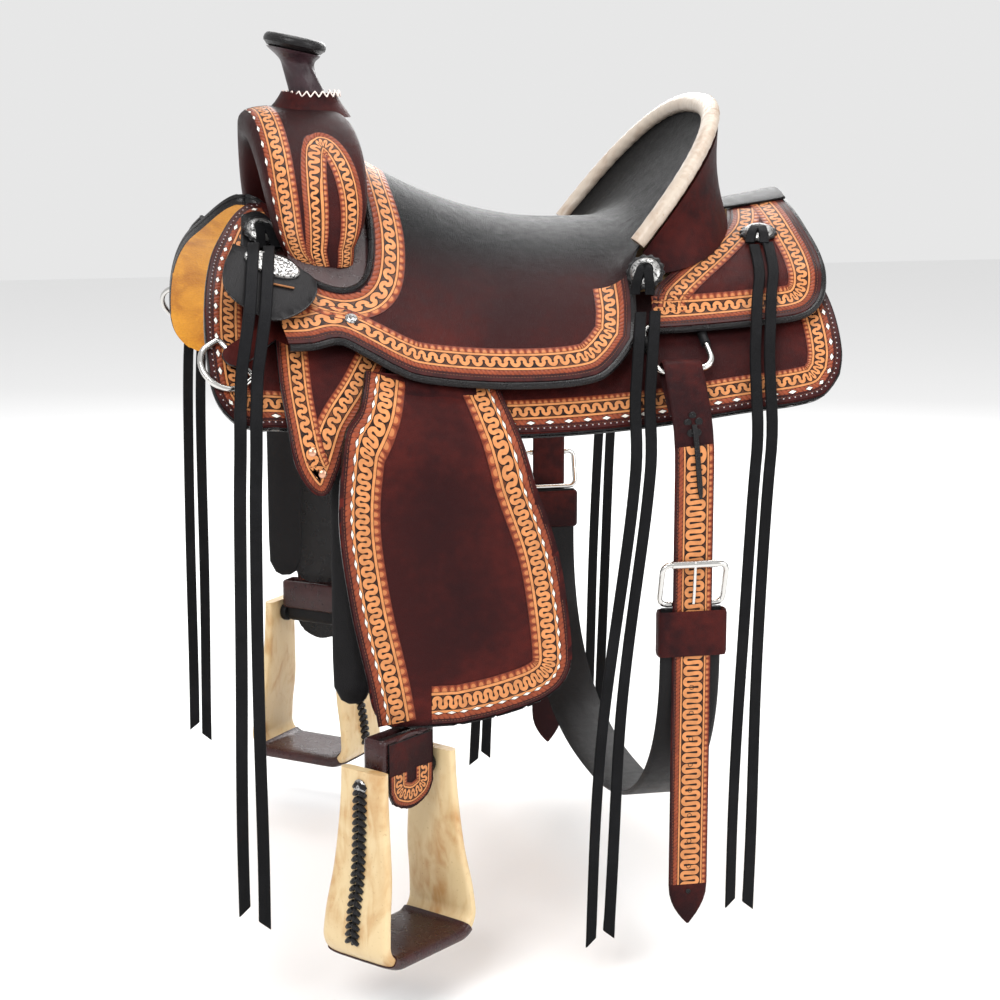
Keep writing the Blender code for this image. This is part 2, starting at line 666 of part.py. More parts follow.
# ---------------------------------------------------------------- hardware on the panels
def build_dees(word, side):
    """Front dee, held by the rigging leather's tongue, and the fixed rear dee."""
    bar_s, bar_x = 0.295, -0.325
    shape = [(-0.021, 0.0), (-0.011, 0.0), (0.0, 0.0), (0.011, 0.0), (0.021, 0.0), (0.0235, 0.003)]
    shape += [(0.0235 * math.cos(a), 0.016 + 0.026 * math.sin(a)) for a in
              (math.pi * n / 10 for n in range(0, 11))]
    shape += [(-0.0235, 0.003)]
    turn = math.sqrt(0.5)
    ring = [on_back(bar_x + turn * (u - v), side * (bar_s + turn * (u + v)), DEE_D) for u, v in shape]
    origin = on_back(bar_x, side * bar_s, DEE_D)
    wire(f"front_dee_{word}", ring, DEE_WIRE, "nickel", origin=origin)

    top, bottom = REAR_DEE_S
    half, corner = REAR_DEE_HALF, 0.012
    x0 = BILLET_X + 0.004
    points = []
    for cx, cs, start in ((half - corner, bottom - corner, 0), (-half + corner, bottom - corner, 90),
                          (-half + corner, top + corner, 180), (half - corner, top + corner, 270)):
        for n in range(4):
            a = math.radians(start + 30 * n)
            points.append((x0 + cx + corner * math.cos(a), cs + corner * math.sin(a)))
    ring = [on_back(x, side * s, DEE_D + (REAR_DEE_STAND - DEE_D) * smoothstep(0.236, bottom, s))
            for x, s in points]
    wire(f"rear_dee_{word}", ring, DEE_WIRE, "nickel")


CONCHO_RADIUS = 0.021
CONCHOS = {                     # x and s of the centre, and the stand-off and lift under it
    "front": ((-0.281, 0.112), lambda x, s: (tab_d(x, s) + TAB_THICK + 0.0005, 0.0)),
    "cantle": ((0.112, 0.200), lambda x, s: (SEAT_D + SEAT_THICK + 0.002, seat_lift(x, s))),
    "rear": ((0.262, 0.118), lambda x, s: (REAR_JOCKEY_OVER_BAR + REAR_JOCKEY_THICK, 0.0)),
}


def build_concho(name, side, spot, under):
    """Slotted silver disc on its leather rosette, turned as one piece."""
    x, s = spot
    step = 0.012

    def at(dx, ds):
        stand, lift = under(x + dx, s + ds)
        return on_back(x + dx, side * (s + ds), stand + LAYER_GAP, lift)

    face = (at(step, 0) - at(-step, 0)).cross(at(0, step) - at(0, -step)).normalized()
    face = face if face.z > 0 else -face
    profile = [(0.0, 0.0), (CONCHO_RADIUS, 0.0), (CONCHO_RADIUS, 0.003), (0.0165, 0.0035), (0.0155, 0.0055),
               (0.010, 0.0075), (0.0, 0.0082)]
    turned(name, profile, at(0, 0), face, "nickel", segments=18)


# each lace: x along s, d along s, and the s where both strands end
LACES = {
    "front": dict(edge=0.362, ends=(0.812, 0.828), line=[
        (0.137, -0.284, 0.0235), (0.150, -0.286, 0.0310), (0.170, -0.289, 0.0490), (0.210, -0.295, 0.0548),
        (0.250, -0.301, 0.0548), (0.272, -0.305, 0.0530), (0.300, -0.311, 0.0390),
        (0.330, -0.316, 0.0285), (0.420, -0.322, 0.026), (0.620, -0.324, 0.026), (0.830, -0.325, 0.026)]),
    "cantle": dict(edge=0.336, ends=(0.878, 0.870), line=[
        (0.226, 0.108, 0.044), (0.250, 0.102, 0.040), (0.290, 0.093, 0.032), (0.330, 0.086, 0.026),
        (0.420, 0.078, 0.026), (0.640, 0.052, 0.026), (0.880, 0.040, 0.026)]),
    "rear": dict(edge=0.334, ends=(0.846, 0.850), line=[
        (0.142, 0.257, 0.0370), (0.185, 0.250, 0.0365), (0.215, 0.240, 0.0345), (0.245, 0.232, 0.0310),
        (0.300, 0.220, 0.026), (0.400, 0.209, 0.026), (0.600, 0.200, 0.026), (0.850, 0.194, 0.026)]),
}


def lace_at(lace, s):
    """x and stand-off of a lace at s, along a smooth run through its points."""
    run = curve(lace["line"], 6)
    for (s0, x0, d0), (s1, x1, d1) in zip(run, run[1:]):
        if s <= s1:
            t = (s - s0) / (s1 - s0)
            return x0 + (x1 - x0) * t, d0 + (d1 - d0) * t
    return run[-1][1:]


def build_lace(name, side, lace):
    """One lace folded at its concho: two strands that drape over the skirt and hang."""
    top = lace["line"][0][0]
    inner, outer = LACE_GAP / 2, LACE_GAP / 2 + LACE_WIDTH
    left, right = lace["ends"]
    shape = [(-outer, top), (outer, top), (outer, right - 0.010), (inner, right), (inner, top + 0.012),
             (-inner, top + 0.012), (-inner, left), (-outer, left - 0.010)]

    def place(x, s, h):
        middle, d = lace_at(lace, abs(s))
        return on_back(middle + x, s, d + (h - 0.5) * LACE_THICK, edge=lace["edge"])

    panel(name, shape, "black_leather", place, side)


# ---------------------------------------------------------------- fenders and stirrups
def build_fender(word, side):
    """Stirrup leather at the bar and the fender that hangs from it."""
    top = BAR_OUTER + 0.016
    shape = outline([(LEATHER_X - 0.024, top), (LEATHER_X + 0.024, top)],
                    [(LEATHER_X + 0.024, top), (LEATHER_X + LEATHER_HALF, top + 0.05),
                     (LEATHER_X + LEATHER_HALF, FENDER_TOP - 0.004)],
                    [(LEATHER_X + LEATHER_HALF, FENDER_TOP - 0.004), (LEATHER_X - LEATHER_HALF, FENDER_TOP - 0.004)],
                    [(LEATHER_X - LEATHER_HALF, FENDER_TOP - 0.004), (LEATHER_X - LEATHER_HALF, top + 0.05),
                     (LEATHER_X - 0.024, top)], steps=2)
    pivot = on_back(LEATHER_X, side * top, LEATHER_D + 0.002)
    panel(f"stirrup_leather_{word}", shape, "burgundy_leather", sheet(LEATHER_D, LEATHER_THICK), side, pivot)
    hinge = on_back(LEATHER_X, side * FENDER_TOP, FENDER_D + FENDER_THICK)
    panel(f"fender_{word}", fender_outline(), "burgundy_leather",
          sheet(FENDER_D, FENDER_THICK, edge=0.352), side, hinge)


def build_stirrup(word, side):
    """Stirrup frame, bolt, tread, and the leather loop and hobble over it."""
    centre = Vector((STIRRUP_X, side * STIRRUP_Y, 0.0))
    across = Vector((math.cos(STIRRUP_TURN), side * math.sin(STIRRUP_TURN), 0.0))
    depth = Vector((-side * math.sin(STIRRUP_TURN), math.cos(STIRRUP_TURN), 0.0))
    bottom = STIRRUP_TOP - STIRRUP_HEIGHT
    base_z = bottom + STIRRUP_THICK / 2
    bolt = centre + Vector((0.0, 0.0, STIRRUP_TOP - BOLT_DROP))

    low, mid = STIRRUP_LOW_HALF, (STIRRUP_TOP_HALF + STIRRUP_LOW_HALF) / 2
    corner = 0.022
    half = curve([(STIRRUP_TOP_HALF, STIRRUP_TOP), (STIRRUP_TOP_HALF + 0.001, STIRRUP_TOP - 0.045),
                  (mid - 0.003, STIRRUP_TOP - 0.105), (low - 0.003, base_z + 0.050), (low, base_z + corner)], 2)
    half += [(low - corner + corner * math.cos(a), base_z + corner - corner * math.sin(a))
             for a in (math.radians(22.5 * n) for n in range(1, 5))]
    points = [(-w, z) for w, z in half] + [(w, z) for w, z in reversed(half)]
    path = [centre + across * w + Vector((0, 0, z)) for w, z in points]
    widths = [STIRRUP_LOW_DEPTH + (STIRRUP_TOP_DEPTH - STIRRUP_LOW_DEPTH) * smoothstep(base_z, STIRRUP_TOP, z)
              for _, z in points]
    frame = strap(f"stirrup_{word}", path, widths, STIRRUP_THICK, depth, "amber_rawhide", origin=bolt)
    pierced(frame, bolt - frame.location * 0, across, BOLT_RADIUS + BOLT_CLEARANCE, 2.4 * STIRRUP_LOW_HALF)

    reach = STIRRUP_TOP_HALF + STIRRUP_THICK / 2 + 0.003
    head = 0.0035
    profile = [(0.0, -reach - head), (0.0085, -reach - head), (0.0085, -reach), (BOLT_RADIUS, -reach),
               (BOLT_RADIUS, reach), (0.0085, reach), (0.0085, reach + head), (0.0, reach + head)]
    turned(f"stirrup_bolt_{word}", profile, bolt, across, "nickel", segments=16)

    tread_half = STIRRUP_LOW_HALF - corner
    tread_z = base_z + STIRRUP_THICK / 2 + 0.0003 + TREAD_THICK / 2
    ends = [centre + across * w + Vector((0, 0, tread_z)) for w in (-tread_half, tread_half)]
    strap(f"tread_{word}", ends, STIRRUP_LOW_DEPTH - 0.004, TREAD_THICK, depth, "burgundy_leather")

    ring = BOLT_RADIUS + FIT + LOOP_THICK / 2
    top_z = on_back(STIRRUP_X, FENDER_BOTTOM, 0.0, edge=0.352).z - LAYER_GAP - LOOP_THICK / 2 - 0.003
    slim = 0.004
    around = [(ring * math.sin(a), bolt.z - ring * math.cos(a)) for a in
              (math.radians(30 * n) for n in range(-3, 4))]
    around += [(slim * math.cos(a), top_z - slim + slim * math.sin(a)) for a in
               (math.radians(45 * n) for n in range(0, 5))]
    path = [centre + depth * v + Vector((0, 0, z)) for v, z in around]
    strap(f"stirrup_loop_{word}", path, LOOP_WIDTH, LOOP_THICK, across, "burgundy_leather", closed=True)

    wide = LOOP_WIDTH / 2 + FIT + HOBBLE_THICK / 2
    deep = ring + LOOP_THICK / 2 + FIT + HOBBLE_THICK / 2
    hobble_z = bolt.z + 0.0095 + HOBBLE_HEIGHT / 2
    path = []
    for cu, cv, start in ((1, 1, 0), (-1, 1, 90), (-1, -1, 180), (1, -1, 270)):
        for n in range(3):
            a = math.radians(start + 45 * n)
            round_off = 0.003
            u = cu * (wide - round_off) + round_off * math.cos(a)
            v = cv * (deep - round_off) + round_off * math.sin(a)
            path.append(centre + across * u + depth * v + Vector((0, 0, hobble_z)))
    strap(f"hobble_{word}", path, HOBBLE_HEIGHT, HOBBLE_THICK, (0, 0, 1), "burgundy_leather", closed=True)


# ---------------------------------------------------------------- flank rigging
BILLET_EDGE = 0.335


def build_flank():
    """Billets, buckles, keepers and the cinch that joins them under the belly."""
    loop_s = REAR_DEE_S[1]
    hanging = on_back(BILLET_X, 0.60, REAR_DEE_STAND + BILLET_LOOP, edge=BILLET_EDGE)
    strap_y = hanging.y
    tip_s = 0.60 + hanging.z - BILLET_TIP_Z
    for word, side in SIDES.items():
        run = [(loop_s + 0.014, REAR_DEE_STAND - BILLET_LOOP)]
        run += [(loop_s - BILLET_LOOP * math.sin(a), REAR_DEE_STAND - BILLET_LOOP * math.cos(a))
                for a in (math.radians(30 * n) for n in range(0, 7))]
        run += [(s, REAR_DEE_STAND + BILLET_LOOP) for s in (0.310, 0.335, 0.346, 0.357, 0.368, 0.60, tip_s - 0.02, tip_s)]
        widths = [BILLET_WIDTH] * (len(run) - 1) + [BILLET_WIDTH * 0.25]
        strap(f"billet_{word}", [on_back(BILLET_X, side * s, d, edge=BILLET_EDGE) for s, d in run], widths, BILLET_THICK,
              (1, 0, 0), "tooled_leather")

        height, corner = 0.022, 0.007
        lean = BILLET_THICK / 2 + FIT + BUCKLE_WIRE + 0.001
        frame = []
        for cx, cz, start in ((1, 1, 0), (-1, 1, 90), (-1, -1, 180), (1, -1, 270)):
            for n in range(3):
                a = math.radians(start + 45 * n)
                x = cx * (BUCKLE_HALF - corner) + corner * math.cos(a)
                z = cz * (height - corner) + corner * math.sin(a)
                y = strap_y + lean * max(-1.0, min(1.0, z / (height - 0.004)))
                frame.append(Vector((BILLET_X + x, side * y, BUCKLE_Z + z)))
        wire(f"flank_buckle_{word}", frame, BUCKLE_WIRE, "nickel")

        cinch_y = strap_y - BILLET_THICK / 2 - FIT - CINCH_THICK / 2
        wide = max(BILLET_WIDTH, CINCH_WIDTH) / 2 + FIT + KEEPER_THICK / 2
        deep_out = strap_y + BILLET_THICK / 2 + FIT + KEEPER_THICK / 2
        deep_in = cinch_y - CINCH_THICK / 2 - FIT - KEEPER_THICK / 2
        keeper_z = BUCKLE_Z - height - BUCKLE_WIRE - 0.008 - KEEPER_HEIGHT / 2
        corners = ((wide, deep_out), (-wide, deep_out), (-wide, deep_in), (wide, deep_in))
        path = [Vector((BILLET_X + x, side * y, keeper_z)) for x, y in corners]
        strap(f"flank_keeper_{word}", path, KEEPER_HEIGHT, KEEPER_THICK, (0, 0, 1), "black_leather", closed=True)

    start_z = BUCKLE_Z - 0.022 - BUCKLE_WIRE - 0.001
    bend_z = keeper_z - KEEPER_HEIGHT / 2 - 0.006
    half = [(cinch_y, start_z), (cinch_y, (start_z + bend_z) / 2)]
    for n in range(0, 11):
        a = math.radians(9 * n)
        half.append((cinch_y * math.cos(a) ** 0.85, bend_z + (CINCH_BOTTOM - bend_z) * math.sin(a) ** 0.85))
    points = [(-y, z) for y, z in half[:-1]] + [(0.0, CINCH_BOTTOM)] + [(y, z) for y, z in reversed(half[:-1])]
    strap("flank_cinch", [Vector((BILLET_X, y, z)) for y, z in points], CINCH_WIDTH, CINCH_THICK,
          (1, 0, 0), "black_leather")


def build_latigo(word, side):
    """Latigo hanging behind the rigging leather's tip."""
    points = [(0.374, -0.0045), (0.385, -0.0045), (0.400, -0.0045), (0.500, -0.0045), (0.608, -0.0045)]
    path = [on_back(-0.215, side * s, d, edge=0.350) for s, d in points]
    strap(f"latigo_{word}", path, LATIGO_WIDTH, LATIGO_THICK, (1, 0, 0), "burgundy_leather", origin=path[0])


def main():
    """Clear the scene and build every piece."""
    for old in list(bpy.data.objects):
        bpy.data.objects.remove(old, do_unlink=True)
    build_tree()
    build_panels()
    build_flank()
    for word, side in SIDES.items():
        build_dees(word, side)
        build_fender(word, side)
        build_stirrup(word, side)
        build_latigo(word, side)
        for place, (spot, under) in CONCHOS.items():
            build_concho(f"concho_{place}_{word}", side, spot, under)
            build_lace(f"lace_{place}_{word}", side, LACES[place])


main()
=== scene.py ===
"""Looks of a western saddle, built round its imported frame.

X runs rearwards, Y to the off side, Z up.  Leather is laid on the back: a round surface
addressed by x and by the distance s outwards from the spine line, at a stand-off d.
"""

from __future__ import annotations

import logging
import math
from dataclasses import dataclass, field
from enum import Enum
from typing import Callable, ClassVar, Iterable, Sequence

import bmesh
import bpy
from mathutils import Matrix, Vector


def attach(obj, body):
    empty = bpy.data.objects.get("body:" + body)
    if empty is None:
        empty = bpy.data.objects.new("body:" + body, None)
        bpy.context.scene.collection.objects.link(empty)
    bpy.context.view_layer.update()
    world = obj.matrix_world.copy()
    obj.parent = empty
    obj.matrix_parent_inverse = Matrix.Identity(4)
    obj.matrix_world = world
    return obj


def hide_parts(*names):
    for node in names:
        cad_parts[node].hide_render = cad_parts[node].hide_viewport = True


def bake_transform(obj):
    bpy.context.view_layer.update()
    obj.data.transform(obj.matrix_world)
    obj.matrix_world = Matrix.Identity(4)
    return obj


LOG = logging.getLogger("saddle")
Flat = tuple[float, float]
Surface = Callable[[float, float, float], Vector]
MM = 0.001
STRIP_STEP = 0.004          # facet length along a tooled border


class Side(Enum):
    """The two sides of the saddle; the value is the sign of Y."""

    near = -1
    off = 1


class Place(Enum):
    """Where a concho and its strings sit."""

    front = "front"
    cantle = "cantle"
    rear = "rear"


# ------------------------------------------------------------------ the back and its layers
@dataclass(frozen=True)
class Back:
    """The surface that every panel follows."""

    radius: float = 0.3564
    ridge: float = math.radians(3.0)
    rock_front: float = 0.42
    rock_rear: float = 0.30
    leaf_lift: float = 0.030

    def rise(self, x: float, s: float) -> float:
        """Height of the back line at x, with the lift under the skirts' front leaf."""
        rock = (self.rock_front if x < 0 else self.rock_rear) * x * x
        leaf = math.exp(-(((x + 0.28) / 0.042) ** 2)) * ease(0.15, 0.06, abs(s))
        return rock + self.leaf_lift * leaf

    def point(self, x: float, s: float, d: float, lift: float = 0.0, edge: float | None = None,
              bend: float = 0.06) -> Vector:
        """A point on the back.

        Args:
            x: place along the saddle.
            s: distance outwards from the spine; its sign picks the side.
            d: stand-off from the back.
            lift: extra height.
            edge: where the layer leaves the back and rolls over to hang.
            bend: radius of that roll.

        Returns:
            The point in the saddle's frame.
        """
        side = -1.0 if s < 0 else 1.0
        run = abs(s)
        on = run if edge is None else min(run, edge)
        angle = self.ridge + on / self.radius
        y = self.radius * (math.sin(angle) - math.sin(self.ridge))
        z = self.radius * (math.cos(angle) - math.cos(self.ridge))
        rise = self.rise(x, s)
        if edge is not None and run > edge:
            past = run - edge
            turn = min(past / bend, math.pi / 2 - angle)
            y += bend * (math.sin(angle + turn) - math.sin(angle))
            z += bend * (math.cos(angle + turn) - math.cos(angle)) - (past - bend * turn)
            angle += turn
            rise *= 1.0 - ease(0.0, 0.25, past)
        return Vector((x, side * (y + d * math.sin(angle)), z + d * math.cos(angle) + rise + lift))


def ease(edge0: float, edge1: float, value: float) -> float:
    """0 at edge0, 1 at edge1, eased between."""
    t = min(1.0, max(0.0, (value - edge0) / (edge1 - edge0)))
    return t * t * (3.0 - 2.0 * t)


BACK = Back()
LINING_TOP = 0.006
SKIRT_TOP = 0.012
SEAT_LOW = 0.031
SEAT_TOP = 0.036
REAR_EDGE = 0.0205
REAR_OVER_BAR = 0.0285
REAR_THICK = 0.005
FENDER_TOP = 0.0275
FENDER_ROLL = 0.352         # s at which fenders and rigging leave the back and hang
FENDER_BOTTOM = 0.627

CANTLE_X, CANTLE_END_Z = 0.110, 0.016
CANTLE_DEPTH, CANTLE_RISE, CANTLE_HALF, CANTLE_POWER = 0.118, 0.147, 0.172, 2.5
CANTLE_DISH = 0.012


def rim_point(angle: float, grow: float = 1.0) -> Vector:
    """A point of the cantle's rim; the angle runs from -90 (near end) to 90 degrees (off end)."""
    share = 2.0 / CANTLE_POWER
    out = math.copysign(abs(math.sin(angle)) ** share, angle)
    back = abs(math.cos(angle)) ** share
    return Vector((CANTLE_X + CANTLE_DEPTH * back * grow, CANTLE_HALF * out * grow,
                   CANTLE_END_Z + CANTLE_RISE * back))


def seat_lift(x: float, s: float) -> float:
    """How far the seat stands above the layer that its jockeys lie on."""
    middle = 0.040 + (1.40 * (x - 0.06) ** 2 if x < 0.06 else 0.0)
    crown = max(0.0, middle - BACK.point(x, 0.0, SEAT_TOP).z)
    lift = crown * 0.5 * (1.0 + math.cos(math.pi * min(1.0, abs(s) / 0.22)))
    spot = BACK.point(x, s, SEAT_TOP, lift)
    along = max(0.0, x - CANTLE_X) / CANTLE_DEPTH
    inside = max(0.0, 1.0 - along ** CANTLE_POWER - (abs(spot.y) / CANTLE_HALF) ** CANTLE_POWER)
    slope = CANTLE_RISE / CANTLE_DEPTH
    dish = CANTLE_END_Z + slope * (x - CANTLE_X) - CANTLE_DISH * min(1.0, 2.0 * inside)
    over = dish - spot.z
    climb = 0.5 * (over + math.sqrt(over * over + 0.02 ** 2)) - 0.002
    return lift + max(0.0, climb) * ease(0.235, 0.165, abs(s)) * ease(0.03, 0.12, x)


def rear_jockey_d(s: float) -> float:
    """Underside of the rear jockey: low at its edge, over the bars further in."""
    return REAR_EDGE + (REAR_OVER_BAR - REAR_EDGE) * ease(0.222, 0.188, abs(s))


def seat_s_of(spot: Vector) -> float:
    """The s whose seat surface passes over the point's y."""
    low, high = 0.0, 0.26
    for _ in range(24):
        middle = 0.5 * (low + high)
        if BACK.point(spot.x, middle, SEAT_TOP).y < abs(spot.y):
            low = middle
        else:
            high = middle
    return low


# ------------------------------------------------------------------ curves and outlines
def curve(points: Sequence[Sequence[float]], steps: int = 6) -> list[tuple[float, ...]]:
    """A smooth run through the points."""
    if len(points) < 3:
        return [tuple(p) for p in points]
    ends = [points[0], *points, points[-1]]
    run = []
    for p0, p1, p2, p3 in zip(ends, ends[1:], ends[2:], ends[3:]):
        for k in range(steps):
            t = k / steps
            run.append(tuple(
                0.5 * (2 * b + (c - a) * t + (2 * a - 5 * b + 4 * c - d) * t * t
                       + (3 * b - a - 3 * c + d) * t ** 3)
                for a, b, c, d in zip(p0, p1, p2, p3)))
    run.append(tuple(points[-1]))
    return run


def outline(*runs: Sequence[Flat], steps: int = 6) -> list[Flat]:
    """A closed outline from smooth runs that meet at corners."""
    points: list[Flat] = []
    for run in runs:
        for point in curve(run, steps):
            if not points or math.dist(point, points[-1]) > 1e-5:
                points.append(point)
    if math.dist(points[0], points[-1]) < 1e-5:
        points.pop()
    return points


def resample(path: Sequence[Sequence[float]], step: float) -> list[tuple[float, ...]]:
    """Points at equal distances along a path, its ends kept."""
    total = sum(math.dist(a, b) for a, b in zip(path, path[1:]))
    count = max(2, round(total / step))
    out, done, seg = [tuple(path[0])], 0.0, 0
    for k in range(1, count):
        want = total * k / count
        while done + math.dist(path[seg], path[seg + 1]) < want:
            done += math.dist(path[seg], path[seg + 1])
            seg += 1
        at = (want - done) / math.dist(path[seg], path[seg + 1])
        out.append(tuple(a + (b - a) * at for a, b in zip(path[seg], path[seg + 1])))
    out.append(tuple(path[-1]))
    return out


def turns(count: int) -> list[float]:
    """Angles evenly round a circle."""
    return [2 * math.pi * n / count for n in range(count)]


def rounded_box(half_wide: float, half_high: float, corner: float, steps: int) -> list[Flat]:
    """A closed rectangle about the origin with round corners.

    Args:
        half_wide: half of its first side.
        half_high: half of its second side.
        corner: radius of the corners.
        steps: facets of each corner.

    Returns:
        Its points, without the first one again at the end.
    """
    points = []
    for quarter, (a, b) in enumerate(((1, 1), (-1, 1), (-1, -1), (1, -1))):
        for n in range(steps + 1):
            angle = math.radians(90 * (quarter + n / steps))
            points.append((a * (half_wide - corner) + corner * math.cos(angle),
                           b * (half_high - corner) + corner * math.sin(angle)))
    return points


def inward(path: Sequence[Flat]) -> list[Flat]:
    """Unit directions at right angles to a flat path, to its right, smoothed."""
    count = len(path)
    raw = []
    for k in range(count):
        a, b = path[max(0, k - 2)], path[min(count - 1, k + 2)]
        length = math.dist(a, b) or 1.0
        raw.append(((b[1] - a[1]) / length, -(b[0] - a[0]) / length))
    smooth = []
    for k in range(count):
        near = raw[max(0, k - 2):k + 3]
        x, y = sum(n[0] for n in near), sum(n[1] for n in near)
        length = math.hypot(x, y) or 1.0
        smooth.append((x / length, y / length))
    return smooth


# ------------------------------------------------------------------ materials
class Value:
    """A socket's value in a material, with arithmetic that adds nodes."""

    def __init__(self, tree: bpy.types.NodeTree, socket: bpy.types.NodeSocket) -> None:
        self.tree, self.socket = tree, socket

    def math(self, kind: str, *others: "Value | float") -> "Value":
        """A Math node of that kind on this value and the others."""
        node = self.tree.nodes.new("ShaderNodeMath")
        node.operation = kind
        for slot, item in zip(node.inputs, (self, *others)):
            if isinstance(item, Value):
                self.tree.links.new(item.socket, slot)
            else:
                slot.default_value = item
        return Value(self.tree, node.outputs[0])

    def __add__(self, other: "Value | float") -> "Value":
        """Sum."""
        return self.math("ADD", other)

    def __sub__(self, other: "Value | float") -> "Value":
        """Difference."""
        return self.math("SUBTRACT", other)

    def __mul__(self, other: "Value | float") -> "Value":
        """Product."""
        return self.math("MULTIPLY", other)

    def over(self, other: "Value | float") -> "Value":
        """Quotient."""
        return self.math("DIVIDE", other)

    def low(self, other: "Value | float") -> "Value":
        """The smaller."""
        return self.math("MINIMUM", other)

    def high(self, other: "Value | float") -> "Value":
        """The larger."""
        return self.math("MAXIMUM", other)

    def size(self) -> "Value":
        """Absolute value."""
        return self.math("ABSOLUTE")

    def cell(self, period: float, shift: float = 0.0) -> "Value":
        """Distance from the middle of the repeat that it falls in, signed."""
        turns = self.over(period) + shift
        return (turns.math("FRACT") - 0.5) * period

    def ramp(self, start: float, end: float) -> "Value":
        """0 at start, 1 at end, eased and clamped."""
        node = self.tree.nodes.new("ShaderNodeMapRange")
        node.interpolation_type = "SMOOTHSTEP"
        self.tree.links.new(self.socket, node.inputs["Value"])
        node.inputs["From Min"].default_value = start
        node.inputs["From Max"].default_value = end
        return Value(self.tree, node.outputs["Result"])

    def inside(self, half: float, soft: float = 0.25) -> "Value":
        """1 where the value is under half, 0 above it."""
        return self.ramp(half + soft, half - soft)


def hypot(a: Value, b: Value) -> Value:
    """Length of the vector (a, b)."""
    return (a * a + b * b).math("SQRT")


Colour = tuple[float, float, float]
OXBLOOD: Colour = (0.0165, 0.0045, 0.0052)
RED: Colour = (0.085, 0.0120, 0.0090)
BLACK: Colour = (0.0042, 0.0042, 0.0046)
INK: Colour = (0.006, 0.0045, 0.005)
TAN: Colour = (0.56, 0.225, 0.083)
RUST: Colour = (0.255, 0.058, 0.024)
THREAD: Colour = (0.86, 0.80, 0.72)


class Shader:
    """A material under construction: its tree, its Principled shader and common inputs."""

    def __init__(self, name: str, roughness: float, metallic: float = 0.0, coat: float = 0.0,
                 sheen: float = 0.0, specular: float = 0.08) -> None:
        self.material = bpy.data.materials.new(name)
        self.material.use_nodes = True
        self.tree = self.material.node_tree
        self.bsdf = self.tree.nodes["Principled BSDF"]
        self.bsdf.inputs["Roughness"].default_value = roughness
        self.bsdf.inputs["Metallic"].default_value = metallic
        self.bsdf.inputs["Coat Weight"].default_value = coat
        self.bsdf.inputs["Coat Roughness"].default_value = 0.25
        self.bsdf.inputs["Specular IOR Level"].default_value = 0.5 if metallic else specular
        self.bsdf.inputs["Sheen Weight"].default_value = sheen
        self.place = self.node("ShaderNodeTexCoord").outputs["Object"]

    def node(self, kind: str) -> bpy.types.Node:
        """A new node."""
        return self.tree.nodes.new(kind)

    def noise(self, scale: float, detail: float = 4.0, stretch: Colour = (1, 1, 1),
              warp: float = 0.0) -> Value:
        """Noise on the piece's own coordinates, 0 to 1."""
        spread = self.node("ShaderNodeMapping")
        spread.inputs["Scale"].default_value = stretch
        self.tree.links.new(self.place, spread.inputs["Vector"])
        node = self.node("ShaderNodeTexNoise")
        node.inputs["Scale"].default_value = scale
        node.inputs["Detail"].default_value = detail
        node.inputs["Distortion"].default_value = warp
        self.tree.links.new(spread.outputs[0], node.inputs["Vector"])
        return Value(self.tree, node.outputs["Fac"])

    def cells(self, scale: float) -> Value:
        """Distance to the borders of a Voronoi pattern, for pores and creases."""
        node = self.node("ShaderNodeTexVoronoi")
        node.feature = "DISTANCE_TO_EDGE"
        node.inputs["Scale"].default_value = scale
        self.tree.links.new(self.place, node.inputs["Vector"])
        return Value(self.tree, node.outputs["Distance"])

    def attribute(self, name: str) -> Value:
        """A number stored on the mesh."""
        node = self.node("ShaderNodeAttribute")
        node.attribute_name = name
        return Value(self.tree, node.outputs["Fac"])

    def band_coordinates(self) -> tuple[Value, Value]:
        """Millimetres along a strip and across it, from its UV map."""
        node = self.node("ShaderNodeUVMap")
        node.uv_map = "strip"
        split = self.node("ShaderNodeSeparateXYZ")
        self.tree.links.new(node.outputs[0], split.inputs[0])
        return Value(self.tree, split.outputs[0]) * 1000.0, Value(self.tree, split.outputs[1]) * 1000.0

    def colour(self, base: "Colour | bpy.types.NodeSocket",
               *layers: tuple[Value, Colour]) -> bpy.types.NodeSocket:
        """Layers of colour, each laid over the last by its mask."""
        current = base
        for mask, tone in layers:
            mix = self.node("ShaderNodeMix")
            mix.data_type = "RGBA"
            self.tree.links.new(mask.socket, mix.inputs[0])
            if isinstance(current, tuple):
                mix.inputs[6].default_value = (*current, 1.0)
            else:
                self.tree.links.new(current, mix.inputs[6])
            mix.inputs[7].default_value = (*tone, 1.0)
            current = mix.outputs[2]
        return current

    def finish(self, colour: bpy.types.NodeSocket, height: Value | None = None, depth: float = 0.001,
               roughness: Value | None = None) -> bpy.types.Material:
        """Connects colour, relief (height times depth in metres) and roughness.

        Returns:
            The material.
        """
        self.tree.links.new(colour, self.bsdf.inputs["Base Color"])
        if height is not None:
            bump = self.node("ShaderNodeBump")
            bump.inputs["Distance"].default_value = depth
            bump.inputs["Strength"].default_value = 1.0
            self.tree.links.new(height.socket, bump.inputs["Height"])
            self.tree.links.new(bump.outputs[0], self.bsdf.inputs["Normal"])
        if roughness is not None:
            self.tree.links.new(roughness.socket, self.bsdf.inputs["Roughness"])
        return self.material


